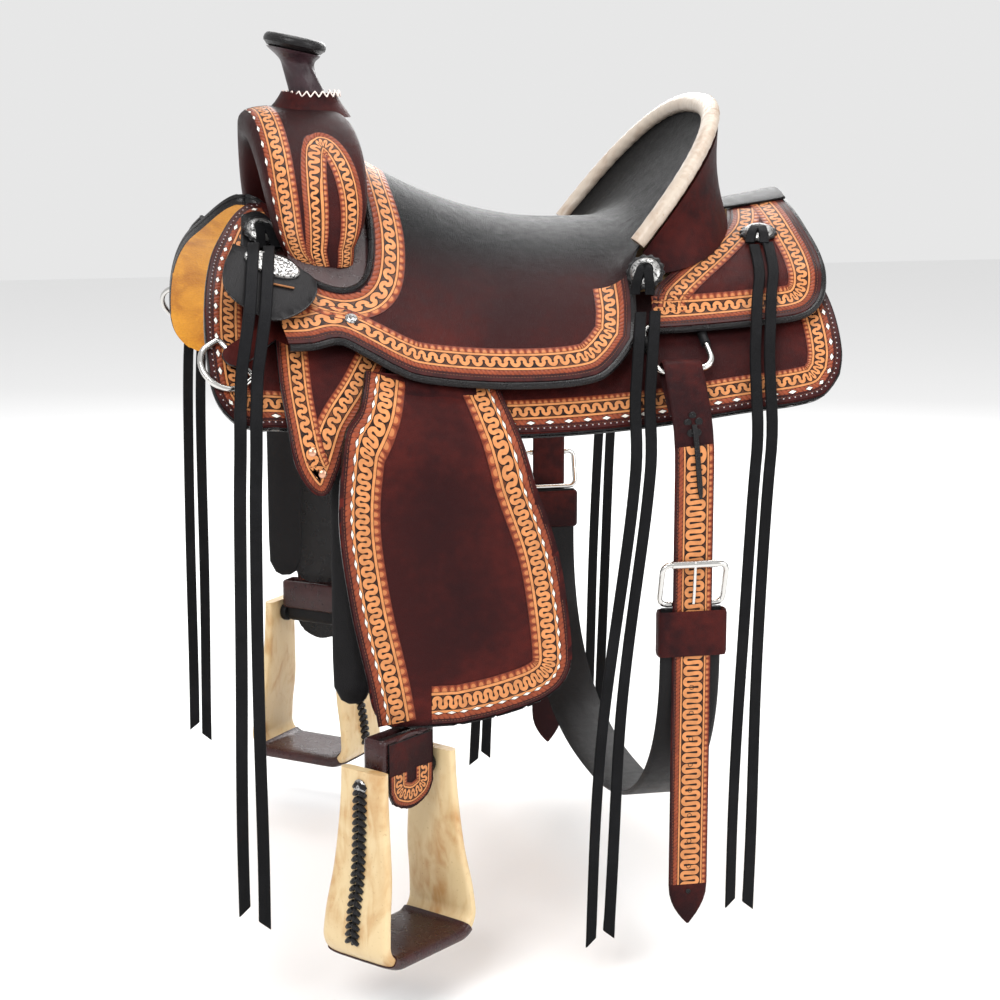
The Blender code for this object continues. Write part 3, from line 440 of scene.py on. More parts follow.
@dataclass(frozen=True)
class Leather:
    """Oiled leather: mottled tone, pores and fine creases."""

    name: str
    dark: Colour
    light: Colour
    roughness: float = 0.42
    coat: float = 0.0
    mottle: float = 0.55
    painted: bool = False       # reads the mesh's "tone" and "soot" numbers

    def make(self) -> bpy.types.Material:
        """The material."""
        s = Shader(self.name, self.roughness, coat=self.coat, specular=0.07 + 0.8 * self.coat)
        cloud = s.noise(9.0, 6.0, warp=0.6)
        fine = s.noise(90.0, 4.0)
        fibre = s.noise(240.0, 3.0, stretch=(1.0, 0.35, 0.5))
        tone = (cloud * 0.75 + fine * 0.3).ramp(0.42, 0.72) * self.mottle
        if self.painted:
            tone = (tone * (s.attribute("tone") * 0.75 + 0.25) + s.attribute("tone") * 0.22).low(1.0)
        colour = s.colour(self.dark, (tone, self.light))
        if self.painted:
            colour = s.colour(colour, (s.attribute("soot"), BLACK))
        pores = s.cells(520.0).ramp(0.0, 0.16)
        creases = s.noise(46.0, 8.0, stretch=(1.0, 0.5, 0.6), warp=1.2)
        height = pores * 0.22 + creases * 0.9 + fibre * 0.3
        rough = fine * 0.22 + (self.roughness - 0.10)
        return s.finish(colour, height, 0.0009, rough)


@dataclass(frozen=True)
class Suede:
    """Brushed lining leather."""

    name: str
    dark: Colour
    light: Colour

    def make(self) -> bpy.types.Material:
        """The material."""
        s = Shader(self.name, 0.92, sheen=0.4)
        nap = s.noise(22.0, 7.0, warp=0.8)
        fluff = s.noise(420.0, 3.0)
        colour = s.colour(self.dark, ((nap * 0.8 + fluff * 0.2).ramp(0.30, 0.66), self.light))
        return s.finish(colour, nap * 0.6 + fluff * 0.5, 0.0010)


@dataclass(frozen=True)
class Rawhide:
    """Pale stretched rawhide with amber stains and stretch lines."""

    name: str
    pale: Colour
    stain: Colour
    amount: float
    roughness: float = 0.38

    def make(self) -> bpy.types.Material:
        """The material."""
        s = Shader(self.name, self.roughness, coat=0.15, specular=0.25)
        cloud = s.noise(14.0, 6.0, warp=1.0)
        veins = s.noise(60.0, 6.0, stretch=(1.0, 1.0, 0.3), warp=1.5)
        specks = s.noise(300.0, 2.0).ramp(0.66, 0.74) * 0.35
        stain = (cloud * 0.7 + veins * 0.35).ramp(0.48, 0.75) * self.amount
        colour = s.colour(self.pale, (stain, self.stain), (specks, (0.28, 0.16, 0.07)))
        return s.finish(colour, cloud * 1.2 + veins * 0.7, 0.0012)


@dataclass(frozen=True)
class Metal:
    """Polished or aged metal; aged metal is dark in its low places."""

    name: str
    tone: Colour
    roughness: float = 0.2
    aged: float = 0.0

    def make(self) -> bpy.types.Material:
        """The material."""
        s = Shader(self.name, self.roughness, metallic=1.0)
        scuff = s.noise(160.0, 5.0, stretch=(1.0, 0.2, 1.0))
        grime = s.noise(420.0, 5.0, warp=0.5).ramp(0.50, 0.62) * self.aged
        colour = s.colour(self.tone, (grime, (0.03, 0.03, 0.032)))
        height = scuff * 0.2 + grime * -1.4
        return s.finish(colour, height, 0.0004, scuff * 0.16 + (self.roughness - 0.06))


@dataclass(frozen=True)
class Wood:
    """Hidden parts of the tree: rawhide-covered wood with a soft grain."""

    name: str = "tree_wood_grain"

    def make(self) -> bpy.types.Material:
        """The material."""
        s = Shader(self.name, 0.62)
        grain = s.noise(26.0, 8.0, stretch=(0.2, 1.0, 1.0), warp=0.8)
        colour = s.colour((0.20, 0.12, 0.06), (grain.ramp(0.35, 0.7), (0.42, 0.29, 0.16)))
        return s.finish(colour, grain, 0.0006)


@dataclass(frozen=True)
class Tooling:
    """A tooled border: rope row, rail, meander on black, rail and scallops, in millimetres."""

    name: str
    margin: float
    rope: float
    rail: float
    band: float
    scallop: float
    period: float
    stroke: float
    diamonds: float = 0.0       # spacing of the white buckstitches, 0 for none
    diamond_at: float = 0.0
    diamond_size: Flat = (4.6, 1.7)
    specks: bool = False        # silver dots stamped in the margin

    @property
    def width(self) -> float:
        """Full width in metres."""
        return (self.margin + self.rope + 2 * self.rail + self.band + self.scallop) * MM

    def make(self) -> bpy.types.Material:
        """The material."""
        s = Shader(self.name, 0.42, specular=0.14)
        u, v = s.band_coordinates()
        rope_mid = self.margin + self.rope / 2
        rail_a = self.margin + self.rope + self.rail / 2
        mid = self.margin + self.rope + self.rail + self.band / 2
        rail_b = mid + self.band / 2 + self.rail / 2
        scallop_mid = rail_b + self.rail / 2 + self.scallop / 2

        reach = self.band / 2 - self.stroke / 2 - 0.5
        round_ = min(0.285 * self.period, reach - 0.3)
        rise = reach - round_
        y = v - mid
        near = u.cell(self.period).size()
        far = near - self.period / 2
        top = (hypot(near, y - rise) - round_).size()
        low = (hypot(far, y + rise) - round_).size()
        lean = near - (y * ((round_ - self.period / 4) / max(rise, 0.3)) + self.period / 4)
        above, below = y.ramp(rise - 0.05, rise + 0.05), y.ramp(0.05 - rise, -rise - 0.05)
        meander = top * above + low * below + lean.size() * ((above * -1.0) - below + 1.0)
        ribbon = meander.inside(self.stroke / 2, 0.22)
        bed = y.size().inside(self.band / 2, 0.15)
        groove = meander.inside(self.stroke / 2 + 0.9, 0.25)

        rails = (v - rail_a).size().low((v - rail_b).size())
        rail = rails.inside(self.rail / 2 - 0.25, 0.2)
        rail_zone = rails.inside(self.rail / 2 + 0.15, 0.15)

        pitch = self.scallop * 1.28
        lobe = hypot(u.cell(pitch), (v - scallop_mid + self.scallop * 0.32) * 0.82).over(self.scallop * 0.60)
        scallop_zone = (v - scallop_mid).size().inside(self.scallop / 2, 0.2)
        scallop = lobe.inside(0.98, 0.10) * scallop_zone
        # middle of each scallop bead, painted tan as a highlight on the bead
        painted_bead_highlight = lobe.inside(0.60, 0.10) * scallop_zone

        twist = (u + (v - rope_mid) * 0.7).cell(self.rope * 0.95)
        strand = hypot(twist, (v - rope_mid) * 0.75).over(self.rope * 0.50)
        rope_zone = (v - rope_mid).size().inside(self.rope / 2, 0.2)
        rope = strand.inside(0.94, 0.12) * rope_zone

        wear = s.noise(70.0, 5.0)
        tone = s.noise(260.0, 4.0)
        mottle = (wear * 0.7 + tone * 0.4).ramp(0.38, 0.72)
        fade = v.ramp(self.width / MM + 0.2, self.width / MM - 0.6)
        layers = [
            (mottle * 0.45, RED),
            (rope_zone * 0.85, (0.10, 0.018, 0.010)),
            (scallop_zone * 0.85, (0.14, 0.026, 0.012)),
            (rope * (mottle * 0.5 + 0.5), RUST),
            (scallop * (mottle * 0.5 + 0.5), RUST),
            # painted highlight: tan on the middle of each scallop bead
            (painted_bead_highlight * 0.55, TAN),
            (bed, INK),
            (bed * (groove * -1.0 + 1.0) * mottle * 0.55, (0.20, 0.060, 0.022)),
            (rail_zone, INK),
            (rail * (mottle * -0.25 + 1.0), TAN),
            (ribbon * bed * (mottle * -0.25 + 1.0), TAN),
        ]
        height = ribbon * bed * 0.75 + rail * 0.75 + rope * (strand * -0.6 + 0.9)
        height = height + scallop * (lobe * -0.6 + 0.9) + (bed * -0.35) + tone * 0.08
        if self.margin > 1.0:
            thread = (v - self.margin * 0.62).size().inside(0.35, 0.2) * u.cell(3.2).size().inside(1.15, 0.25)
            trench = (v - self.margin * 0.62).size().inside(0.65, 0.3)
            layers += [(trench * 0.8, INK), (thread, (0.16, 0.05, 0.03))]
            height = height - trench * 0.5 + thread * 0.5
        if self.specks:
            dot = hypot(u.cell(6.4), v - self.margin * 0.45).inside(0.8, 0.25)
            layers.append((dot, (0.42, 0.36, 0.36)))
            height = height - dot * 0.6
        if self.diamonds:
            half, wide = self.diamond_size
            across = (v - self.diamond_at).size().over(wide)
            diamond = (u.cell(self.diamonds).size().over(half) + across).inside(1.0, 0.08)
            hole = (u.cell(self.diamonds).size().over(half * 1.2) + across.over(1.5)).inside(1.0, 0.08)
            layers += [(hole, INK), (diamond, THREAD)]
            height = height + diamond * 0.9
        layers.append((fade * -1.0 + 1.0, OXBLOOD))
        return s.finish(s.colour(OXBLOOD, *layers), height, 0.0011, wear * 0.2 + 0.30)


OXBLOOD_LEATHER = Leather("oxblood_leather", OXBLOOD, RED, painted=True)
PLAIN_OXBLOOD = Leather("plain_oxblood", OXBLOOD, RED, mottle=0.6)
GLOSSY_OXBLOOD = Leather("glossy_oxblood", (0.020, 0.004, 0.0045), (0.060, 0.009, 0.008), 0.28, 0.25)
BLACK_LEATHER = Leather("black_leather", (0.006, 0.0055, 0.006), (0.013, 0.012, 0.013), 0.46, 0.05)
EDGE_LEATHER = Leather("edge_paint", (0.0045, 0.004, 0.0045), (0.010, 0.008, 0.008), 0.28, 0.15)
STRING_LEATHER = Leather("string_leather", (0.0045, 0.0045, 0.005), (0.011, 0.011, 0.0125), 0.50)
HORN_WRAP = Leather("horn_wrap", (0.018, 0.008, 0.011), (0.060, 0.022, 0.030), 0.36, 0.25)
RUSSET_THONG = Leather("russet_thong", (0.22, 0.09, 0.035), (0.40, 0.18, 0.08))
BILLET_LEATHER = Leather("billet_oxblood", OXBLOOD, RED, mottle=0.7)
LINING_SUEDE = Suede("lining_suede", (0.40, 0.140, 0.008), (0.66, 0.290, 0.022))
BINDING_HIDE = Rawhide("binding_rawhide", (0.47, 0.40, 0.33), (0.27, 0.17, 0.11), 0.75)
STIRRUP_HIDE = Rawhide("stirrup_rawhide", (0.60, 0.46, 0.26), (0.40, 0.20, 0.06), 0.95)
PALE_LACE = Rawhide("pale_lace", (0.80, 0.70, 0.64), (0.55, 0.33, 0.28), 0.4)
TREE_WOOD = Wood()
NICKEL = Metal("polished_nickel", (0.56, 0.55, 0.53), 0.18)
SILVER = Metal("aged_silver", (0.40, 0.395, 0.385), 0.34, aged=0.9)
COPPER = Metal("copper_rivet", (0.60, 0.33, 0.22), 0.28)
JOCKEY_TOOLING = Tooling("jockey_tooling", 7.0, 5.0, 2.9, 13.0, 6.2, 13.4, 4.3)
NOTCH_TOOLING = Tooling("notch_tooling", 1.0, 6.2, 2.9, 13.0, 6.0, 13.0, 4.3)
SKIRT_TOOLING = Tooling("skirt_tooling", 7.5, 5.6, 2.9, 11.8, 5.0, 12.0, 3.9, 20.0, 9.4, (4.6, 2.0), True)
FENDER_TOOLING = Tooling("fender_tooling", 4.4, 6.0, 3.4, 15.6, 7.0, 11.6, 4.3, 14.0, 10.6, (5.0, 1.4))
REAR_TOOLING = Tooling("rear_jockey_tooling", 6.5, 5.0, 2.9, 12.6, 6.0, 12.8, 4.1)
RIG_TOOLING = Tooling("rigging_tooling", 3.4, 5.0, 2.8, 12.5, 5.0, 12.6, 4.1)
BILLET_TOOLING = Tooling("billet_tooling", 2.8, 4.6, 2.4, 22.4, 4.6, 11.8, 4.3)
TAIL_TOOLING = Tooling("tail_tooling", 1.2, 3.6, 2.4, 12.0, 4.0, 11.6, 3.4)
FORK_TOOLING = Tooling("fork_tooling", 1.0, 5.6, 2.8, 12.8, 5.8, 12.6, 4.2, 22.0, 1.6, (5.0, 1.6))
SWELL_TOOLING = Tooling("swell_tooling", 0.6, 5.4, 2.6, 11.6, 5.6, 12.2, 3.9)


PANEL = (OXBLOOD_LEATHER, EDGE_LEATHER, EDGE_LEATHER)       # top, edge and underside
BLACK_PANEL = (BLACK_LEATHER, EDGE_LEATHER, EDGE_LEATHER)


class Wardrobe:
    """Makes each finish once."""

    def __init__(self) -> None:
        self.made: dict[str, bpy.types.Material] = {}

    def get(self, finish: "Leather | Suede | Rawhide | Metal | Wood | Tooling") -> bpy.types.Material:
        """The material of a finish."""
        if finish.name not in self.made:
            self.made[finish.name] = finish.make()
        return self.made[finish.name]


WARDROBE = Wardrobe()


# ------------------------------------------------------------------ mesh work
def piece(name: str, bm: bmesh.types.BMesh, finishes: Sequence, body: str, replaces: Iterable[str] = (),
          angle: float = 40.0, recalc: bool = True) -> bpy.types.Object:
    """Turns a bmesh into a finished, named piece that rides on a body.

    Args:
        name: the piece's name.
        bm: the mesh, freed here.
        finishes: one finish for each material index.
        body: the body it rides on; empty to leave it unattached.
        replaces: frame nodes it stands for.
        angle: edges sharper than this stay sharp.
        recalc: whether to turn all faces outwards.

    Returns:
        The object.
    """
    if recalc:
        bmesh.ops.recalc_face_normals(bm, faces=bm.faces)
        if bm.calc_volume(signed=True) < 0:
            bmesh.ops.reverse_faces(bm, faces=bm.faces)
    mesh = bpy.data.meshes.new(name)
    bm.to_mesh(mesh)
    bm.free()
    mesh.shade_smooth()
    mesh.set_sharp_from_angle(angle=math.radians(angle))
    for finish in finishes:
        mesh.materials.append(WARDROBE.get(finish))
    obj = bpy.data.objects.new(name, mesh)
    bpy.context.scene.collection.objects.link(obj)
    if body:
        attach(obj, body)
    if replaces:
        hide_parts(*replaces)
    LOG.info("%s: %d faces", name, len(mesh.polygons))
    return obj


def skin(bm: bmesh.types.BMesh, rows: Sequence[Sequence[bmesh.types.BMVert]], around: bool = True,
         material: int = 0) -> list[bmesh.types.BMFace]:
    """Faces between neighbouring rows of vertices; around closes each row."""
    faces = []
    for a, b in zip(rows, rows[1:]):
        count = len(a) if around else len(a) - 1
        for k in range(count):
            n = (k + 1) % len(a)
            face = bm.faces.new((a[k], a[n], b[n], b[k]))
            face.material_index = material
            faces.append(face)
    return faces


def shell(bm: bmesh.types.BMesh, rows: Sequence[Sequence[bmesh.types.BMVert]], closed: bool = False,
          material: int = 0) -> None:
    """Skins a solid from its rows: a ring when closed, otherwise with both ends capped."""
    skin(bm, [*rows, rows[0]] if closed else rows, material=material)
    for row in () if closed else (rows[0], rows[-1]):
        bm.faces.new(row).material_index = material


def panel_mesh(shape: Sequence[Flat], place: Surface, side: int, grid: float = 0.011, bevel: float = 0.0016,
               tones: Callable[[float, float], tuple[float, float]] | None = None) -> bmesh.types.BMesh:
    """A leather sheet cut to a shape, with rounded edges.

    Args:
        shape: the outline in x and s.
        place: gives the point at x, s and share h of the thickness.
        side: sign of s.
        grid: facet size.
        bevel: rounding of the edges.
        tones: redness and blackness at x, s.

    Returns:
        The mesh; material 0 is the top, 1 the edge and 2 the underside.
    """
    bm = bmesh.new()
    bm.faces.new([bm.verts.new((x, side * s, 0.0)) for x, s in shape])
    for axis in (0, 1):
        low = min(v.co[axis] for v in bm.verts)
        high = max(v.co[axis] for v in bm.verts)
        normal = Vector((1, 0, 0) if axis == 0 else (0, 1, 0))
        for k in range(math.floor(low / grid) + 1, math.ceil(high / grid)):
            if low + 0.1 * grid < k * grid < high - 0.1 * grid:
                bmesh.ops.bisect_plane(bm, geom=[*bm.verts, *bm.edges, *bm.faces], dist=1e-6,
                                       plane_co=normal * k * grid, plane_no=normal)
    bottom = list(bm.faces)
    for face in bottom:
        face.material_index = 2
    made = bmesh.ops.extrude_face_region(bm, geom=bottom)["geom"]
    top_verts = [g for g in made if isinstance(g, bmesh.types.BMVert)]
    for face in (g for g in made if isinstance(g, bmesh.types.BMFace)):
        face.material_index = 0
    bmesh.ops.translate(bm, vec=(0, 0, 1), verts=top_verts)
    for face in bm.faces:
        if abs(face.normal.z) < 0.5:
            face.material_index = 1
    tone = bm.verts.layers.float.new("tone")
    soot = bm.verts.layers.float.new("soot")
    for v in bm.verts:
        x, s, h = v.co
        v[tone], v[soot] = tones(x, abs(s)) if tones else (0.3, 0.0)
        v.co = place(x, s, h)
    if bevel:
        rim = [e for e in bm.edges if len(e.link_faces) == 2
               and {f.material_index for f in e.link_faces} in ({0, 1}, {1, 2})]
        bmesh.ops.bevel(bm, geom=rim, offset=bevel, segments=2, profile=0.5, affect="EDGES", material=1)
    return bm


def strip_mesh(bm: bmesh.types.BMesh, path: Sequence[Flat], start: float, width: float, surface: Surface,
               step: float = STRIP_STEP) -> None:
    """Adds a thin raised strip that follows a path on a surface, with its UV map.

    Args:
        bm: the mesh to add to.
        path: the outer edge of the strip, which lies to its right.
        start: inset of the strip from the path.
        width: its width.
        surface: gives the point at x, s and height h.
        step: facet length.
    """
    uv = bm.loops.layers.uv.new("strip")
    line = resample(path, step)
    ways = inward(line)
    across = [0.0, 0.0] + [width * k / 6 for k in range(1, 6)] + [width, width]
    heights = [-0.0004] + [0.0005] * 7 + [-0.0004]
    length, rows, marks = 0.0, [], {}
    for k, ((x, s), (nx, ns)) in enumerate(zip(line, ways)):
        length += math.dist(line[k], line[k - 1]) if k else 0.0
        row = []
        for at, height in zip(across, heights):
            inset = start + at
            vert = bm.verts.new(surface(x + nx * inset, s + ns * inset, height))
            marks[vert] = (length, at)
            row.append(vert)
        rows.append(row)
    for face in skin(bm, rows, around=False):
        for loop in face.loops:
            loop[uv].uv = marks[loop.vert]


def strip(name: str, path: Sequence[Flat], tooling: Tooling, surface: Surface, body: str, start: float = 0.0,
          side: int = 1, width: float | None = None, step: float = STRIP_STEP) -> bpy.types.Object:
    """A tooled border laid along a path as one piece.

    Args:
        name: the piece's name.
        path: its outer edge.
        tooling: its finish, which also gives its width.
        surface: gives the point at x, s and height h.
        body: the body it rides on; empty to leave it unattached.
        start: inset of the border from the path.
        side: sign of s.
        width: a width other than the tooling's own.
        step: facet length.

    Returns:
        The object.
    """
    bm = bmesh.new()
    signed = lambda x, s, h: surface(x, side * s, h)
    strip_mesh(bm, path, start, width or tooling.width, signed, step)
    bmesh.ops.recalc_face_normals(bm, faces=bm.faces)
    middle = bm.faces[:][len(bm.faces) // 2]
    line = resample(path, step)
    probe = line[len(line) // 2]
    outwards = signed(*probe, 0.01) - signed(*probe, 0.0)
    if middle.normal.dot(outwards) < 0:
        bmesh.ops.reverse_faces(bm, faces=bm.faces)
    return piece(name, bm, [tooling], body, recalc=False)


def tube_mesh(bm: bmesh.types.BMesh, path: Sequence[Vector], radius: "float | Sequence[float]", sides: int = 8,
              closed: bool = False, squash: float = 1.0) -> None:
    """Adds a round roll along a path; squash flattens it."""
    rows = []
    count = len(path)
    high = None
    for k, point in enumerate(path):
        before = path[k - 1] if k or closed else path[k]
        after = path[(k + 1) % count] if k + 1 < count or closed else path[k]
        along = (after - before).normalized()
        guide = high or (Vector((0, 0, 1)) if abs(along.z) < 0.9 else Vector((1, 0, 0)))
        out = along.cross(guide).normalized()
        high = out.cross(along).normalized()
        r = radius if isinstance(radius, float) else radius[k]
        rows.append([bm.verts.new(point + out * r * math.cos(a) + high * r * squash * math.sin(a))
                     for a in turns(sides)])
    shell(bm, rows, closed)


def strap_mesh(bm: bmesh.types.BMesh, path: Sequence[Vector], widths: "float | Sequence[float]", thick: float,
               axis: "Vector | Sequence[Vector]", closed: bool = False) -> None:
    """Adds a flat strap with rounded edges; its width lies along `axis`."""
    rows = []
    count = len(path)
    shape = ((-0.5, -0.25), (-0.47, 0.25), (-0.42, 0.5), (0.42, 0.5), (0.47, 0.25), (0.5, -0.25), (0.42, -0.5),
             (-0.42, -0.5))
    for k, point in enumerate(path):
        before = path[k - 1] if k or closed else path[k]
        after = path[(k + 1) % count] if k + 1 < count or closed else path[k]
        wide = (axis if isinstance(axis, Vector) else axis[k]).normalized()
        normal = (after - before).cross(wide).normalized()
        w = widths if isinstance(widths, float) else widths[k]
        rows.append([bm.verts.new(point + wide * w * a + normal * thick * b) for a, b in shape])
    shell(bm, rows, closed)


def lathe_mesh(bm: bmesh.types.BMesh, profile: Sequence[Flat], matrix: Matrix, segments: int = 32,
               lobes: int = 0, lobe_depth: float = 0.0, closed: bool = False, material: int = 0) -> None:
    """Adds a turned shape.

    Args:
        bm: the mesh to add to.
        profile: (radius, height) pairs.
        matrix: places the shape, whose axis is local Z.
        segments: facets round the axis.
        lobes: how many scallops its widest rings have.
        lobe_depth: their depth as a share of the radius.
        closed: whether the profile is a closed one, for a ring.
        material: material index.
    """
    widest = max(r for r, _ in profile)
    rows = []
    for r, h in profile:
        row = []
        for a in turns(segments):
            wave = 1.0 - lobe_depth * (0.5 - 0.5 * math.cos(lobes * a)) * (r > widest * 0.8) if lobes else 1.0
            row.append(bm.verts.new(matrix @ Vector((r * wave * math.cos(a), r * wave * math.sin(a), h))))
        rows.append(row)
    shell(bm, rows, closed, material)


def oval_mesh(rings: Sequence[Flat], spot: Callable[[float, float, float], Vector]) -> bmesh.types.BMesh:
    """A raised plate from (share of the oval, height) pairs.

    Args:
        rings: the plate's rings, from the middle outwards.
        spot: gives the point at a share, an angle and a height.

    Returns:
        The mesh, open underneath.
    """
    bm = bmesh.new()
    rows = [[bm.verts.new(spot(share, a, height)) for a in turns(40)] for share, height in rings]
    skin(bm, rows)
    bm.faces.new(rows[0])
    return bm


def facing(centre: Vector, axis: Vector, turn: float = 0.0) -> Matrix:
    """A matrix that stands local +Z along axis at centre."""
    rotate = Vector((0, 0, 1)).rotation_difference(axis.normalized()).to_matrix().to_4x4()
    return Matrix.Translation(centre) @ rotate @ Matrix.Rotation(turn, 4, "Z")


def edge_tones(shape: Sequence[Flat], reach: float, base: float = 0.15) -> Callable[[float, float], Flat]:
    """Redness that grows towards the outline of a panel."""
    dense = resample([*shape, shape[0]], 0.02)

    def tones(x: float, s: float) -> Flat:
        gap = min((x - a) ** 2 + (s - b) ** 2 for a, b in dense) ** 0.5
        return base + (1.0 - base) * ease(reach, 0.02, gap), 0.0

    return tones


# ------------------------------------------------------------------ skirts
@dataclass
class Skirts:
    """Skirts with their suede linings and tooled borders."""

    front: tuple[Flat, ...] = (
        (-0.250, 0.094), (-0.263, 0.074), (-0.280, 0.066), (-0.298, 0.074), (-0.314, 0.092),
        (-0.329, 0.125), (-0.340, 0.163), (-0.350, 0.220), (-0.354, 0.280), (-0.350, 0.335),
        (-0.331, 0.360), (-0.305, 0.362))
    lower: tuple[Flat, ...] = (
        (-0.305, 0.362), (-0.277, 0.356), (-0.165, 0.343), (-0.041, 0.339), (0.096, 0.335),
        (0.193, 0.332), (0.258, 0.334), (0.287, 0.330), (0.306, 0.312))
    rear: tuple[Flat, ...] = (
        (0.306, 0.312), (0.314, 0.286), (0.317, 0.240), (0.314, 0.190), (0.304, 0.120), (0.292, 0.050))
    body: str = "saddle"

    def build(self, side: Side) -> None:
        """Builds one side."""
        word, sign = side.name, side.value
        shape = outline(self.front, self.lower, self.rear, ((0.292, 0.050), (-0.236, 0.050), (-0.250, 0.094)))
        top = lambda x, s, h: BACK.point(x, s, LINING_TOP + 0.001 + h * 0.005)
        piece(f"skirt_leather_{word}",
              panel_mesh(shape, top, sign, tones=edge_tones(shape, 0.11)),
              PANEL, self.body, [f"skirt_{word}"])
        under = lambda x, s, h: BACK.point(x, s, h * 0.0072)
        piece(f"suede_lining_{word}", panel_mesh(shape, under, sign, bevel=0.0012),
              [EDGE_LEATHER, EDGE_LEATHER, LINING_SUEDE], self.body, [f"skirt_lining_{word}"])
        path = outline(self.front[2:], self.lower, self.rear[:-1])
        surface = lambda x, s, h: BACK.point(x, s, SKIRT_TOP + h)
        strip(f"skirt_border_{word}", path, SKIRT_TOOLING, surface, self.body, 0.0022, sign)


# ------------------------------------------------------------------ seat
@dataclass
class Seat:
    """Seat with its jockeys, the cantle binding and the cantle's back."""

    notch: tuple[Flat, ...] = (
        (-0.170, 0.0), (-0.171, 0.050), (-0.168, 0.120), (-0.176, 0.168), (-0.190, 0.192),
        (-0.210, 0.202), (-0.232, 0.200), (-0.252, 0.190), (-0.266, 0.184))
    front: tuple[Flat, ...] = ((-0.266, 0.184), (-0.268, 0.230), (-0.272, 0.281))
    lower: tuple[Flat, ...] = (
        (-0.272, 0.281), (-0.246, 0.274), (-0.219, 0.263), (-0.195, 0.272), (-0.162, 0.288),
        (-0.132, 0.295), (-0.039, 0.297), (0.034, 0.293), (0.063, 0.278), (0.087, 0.251))
    rear: tuple[Flat, ...] = ((0.087, 0.251), (0.095, 0.220), (0.099, 0.186))
    apron: tuple[Flat, ...] = (
        (-0.258, 0.070), (-0.262, 0.194), (-0.235, 0.210), (-0.190, 0.205), (-0.160, 0.180), (-0.152, 0.070))
    screw: Flat = (-0.205, 0.236)
    roll_wide: float = 0.0118       # half sizes of the cantle's roll
    roll_high: float = 0.0085
    back_thick: float = 0.0035
    body: str = "saddle"

    def surface(self, x: float, s: float, h: float) -> Vector:
        """The seat's top, h above it."""
        return BACK.point(x, s, SEAT_TOP + h, seat_lift(x, s))

    def tones(self, x: float, s: float) -> Flat:
        """Red jockeys that darken to a black seat and dish."""
        jockey = ease(0.10, 0.19, s) * ease(0.14, 0.05, x)
        red = jockey * (0.25 + 0.75 * ease(0.20, 0.29, s)) + 0.35 * ease(-0.05, 0.06, x) * jockey
        return min(1.0, red), 1.0 - jockey

    def build(self) -> None:
        """Builds the seat, its borders, binding and back."""
        half = outline(self.notch, self.front, self.lower, self.rear)
        rim = [rim_point(math.radians(88.0 * (1.0 - k / 22)), 0.985) for k in range(23)]
        half += [(spot.x, seat_s_of(spot)) for spot in rim[:-1]] + [(rim[-1].x, 0.0)]
        shape = half + [(x, -s) for x, s in reversed(half) if s > 1e-6]
        place = lambda x, s, h: BACK.point(x, s, SEAT_LOW + h * (SEAT_TOP - SEAT_LOW), seat_lift(x, s))
        piece("seat_leather", panel_mesh(shape, place, 1, grid=0.0085, bevel=0.0018, tones=self.tones),
              PANEL, self.body, ["seat"])
        edge = outline(self.lower, self.rear)
        for side in Side:
            word, sign = side.name, side.value
            bm = bmesh.new()
            rim_path = [self.surface(x, sign * s, -0.0030) for x, s in resample(edge, 0.006)]
            tube_mesh(bm, rim_path, 0.0040)
            welt = [self.surface(x, sign * s, 0.0005) for x, s in resample(curve(self.notch), 0.005)]
            tube_mesh(bm, welt, 0.0036)
            piece(f"jockey_roll_{word}", bm, [EDGE_LEATHER], self.body)
            strip(f"jockey_border_{word}", edge, JOCKEY_TOOLING, self.surface, self.body, 0.0030, sign)
            strip(f"fork_opening_border_{word}", curve(self.notch), NOTCH_TOOLING, self.surface, self.body,
                  0.0035, sign)
            self.build_screw(word, sign)
        for side in Side:
            low = lambda x, s, h: BACK.point(x, s, SEAT_LOW - 0.003 + 0.003 * h, seat_lift(x, s))
            piece(f"fork_apron_{side.name}", panel_mesh(self.apron, low, side.value, bevel=0.0),
                  [GLOSSY_OXBLOOD] * 3, self.body)
        self.build_binding()
        self.build_back()

    def build_screw(self, word: str, sign: int) -> None:
        """The silver screw on one seat jockey."""
        x, s = self.screw
        foot = self.surface(x, sign * s, 0.0)
        bm = bmesh.new()
        profile = ((0.0006, -0.001), (0.0062, -0.001), (0.0066, 0.0012), (0.0058, 0.0022), (0.0044, 0.0018),
                   (0.0034, 0.0026), (0.0012, 0.0024), (0.0010, 0.0034), (0.0003, 0.0036))
        lathe_mesh(bm, profile, facing(foot, self.surface(x, sign * s, 0.01) - foot))
        piece(f"jockey_screw_{word}", bm, [SILVER], self.body)

    def build_binding(self) -> None:
        """The rawhide roll on the cantle's rim, crimped along its back edge."""
        bm = bmesh.new()
        rows = []
        lean = Vector((-CANTLE_RISE, 0.0, CANTLE_DEPTH)).normalized()
        count = 220
        for k in range(count + 1):
            share = k / count
            angle = math.radians(89.0 * (2 * share - 1.0))
            spot = rim_point(angle, 1.0)
            ahead = rim_point(angle + 0.01, 1.0)
            along = (ahead - spot).normalized()
            out = along.cross(lean).normalized()
            if out.dot(spot - Vector((CANTLE_X, 0, spot.z))) < 0:
                out = -out
            face = along.cross(out).normalized()
            if face.z < 0:
                face = -face
            ends = ease(0.0, 0.07, share) * ease(1.0, 0.93, share)
            wide = self.roll_wide * (0.85 + 0.15 * ends)
            middle = spot + out * 0.0005 + face * 0.0025
            row = []
            for n, a in enumerate(turns(22)):
                ripple = math.sin(k * 2.3) * max(0.0, math.cos(a)) ** 2
                crimp = 1.0 + 0.055 * ripple + 0.02 * math.sin(k * 0.9 + n)
                row.append(bm.verts.new(middle + out * wide * crimp * math.cos(a)
                                        + face * self.roll_high * crimp * math.sin(a)))
            rows.append(row)
        shell(bm, rows)
        piece("cantle_roll", bm, [BINDING_HIDE], self.body, ["cantle_binding"])

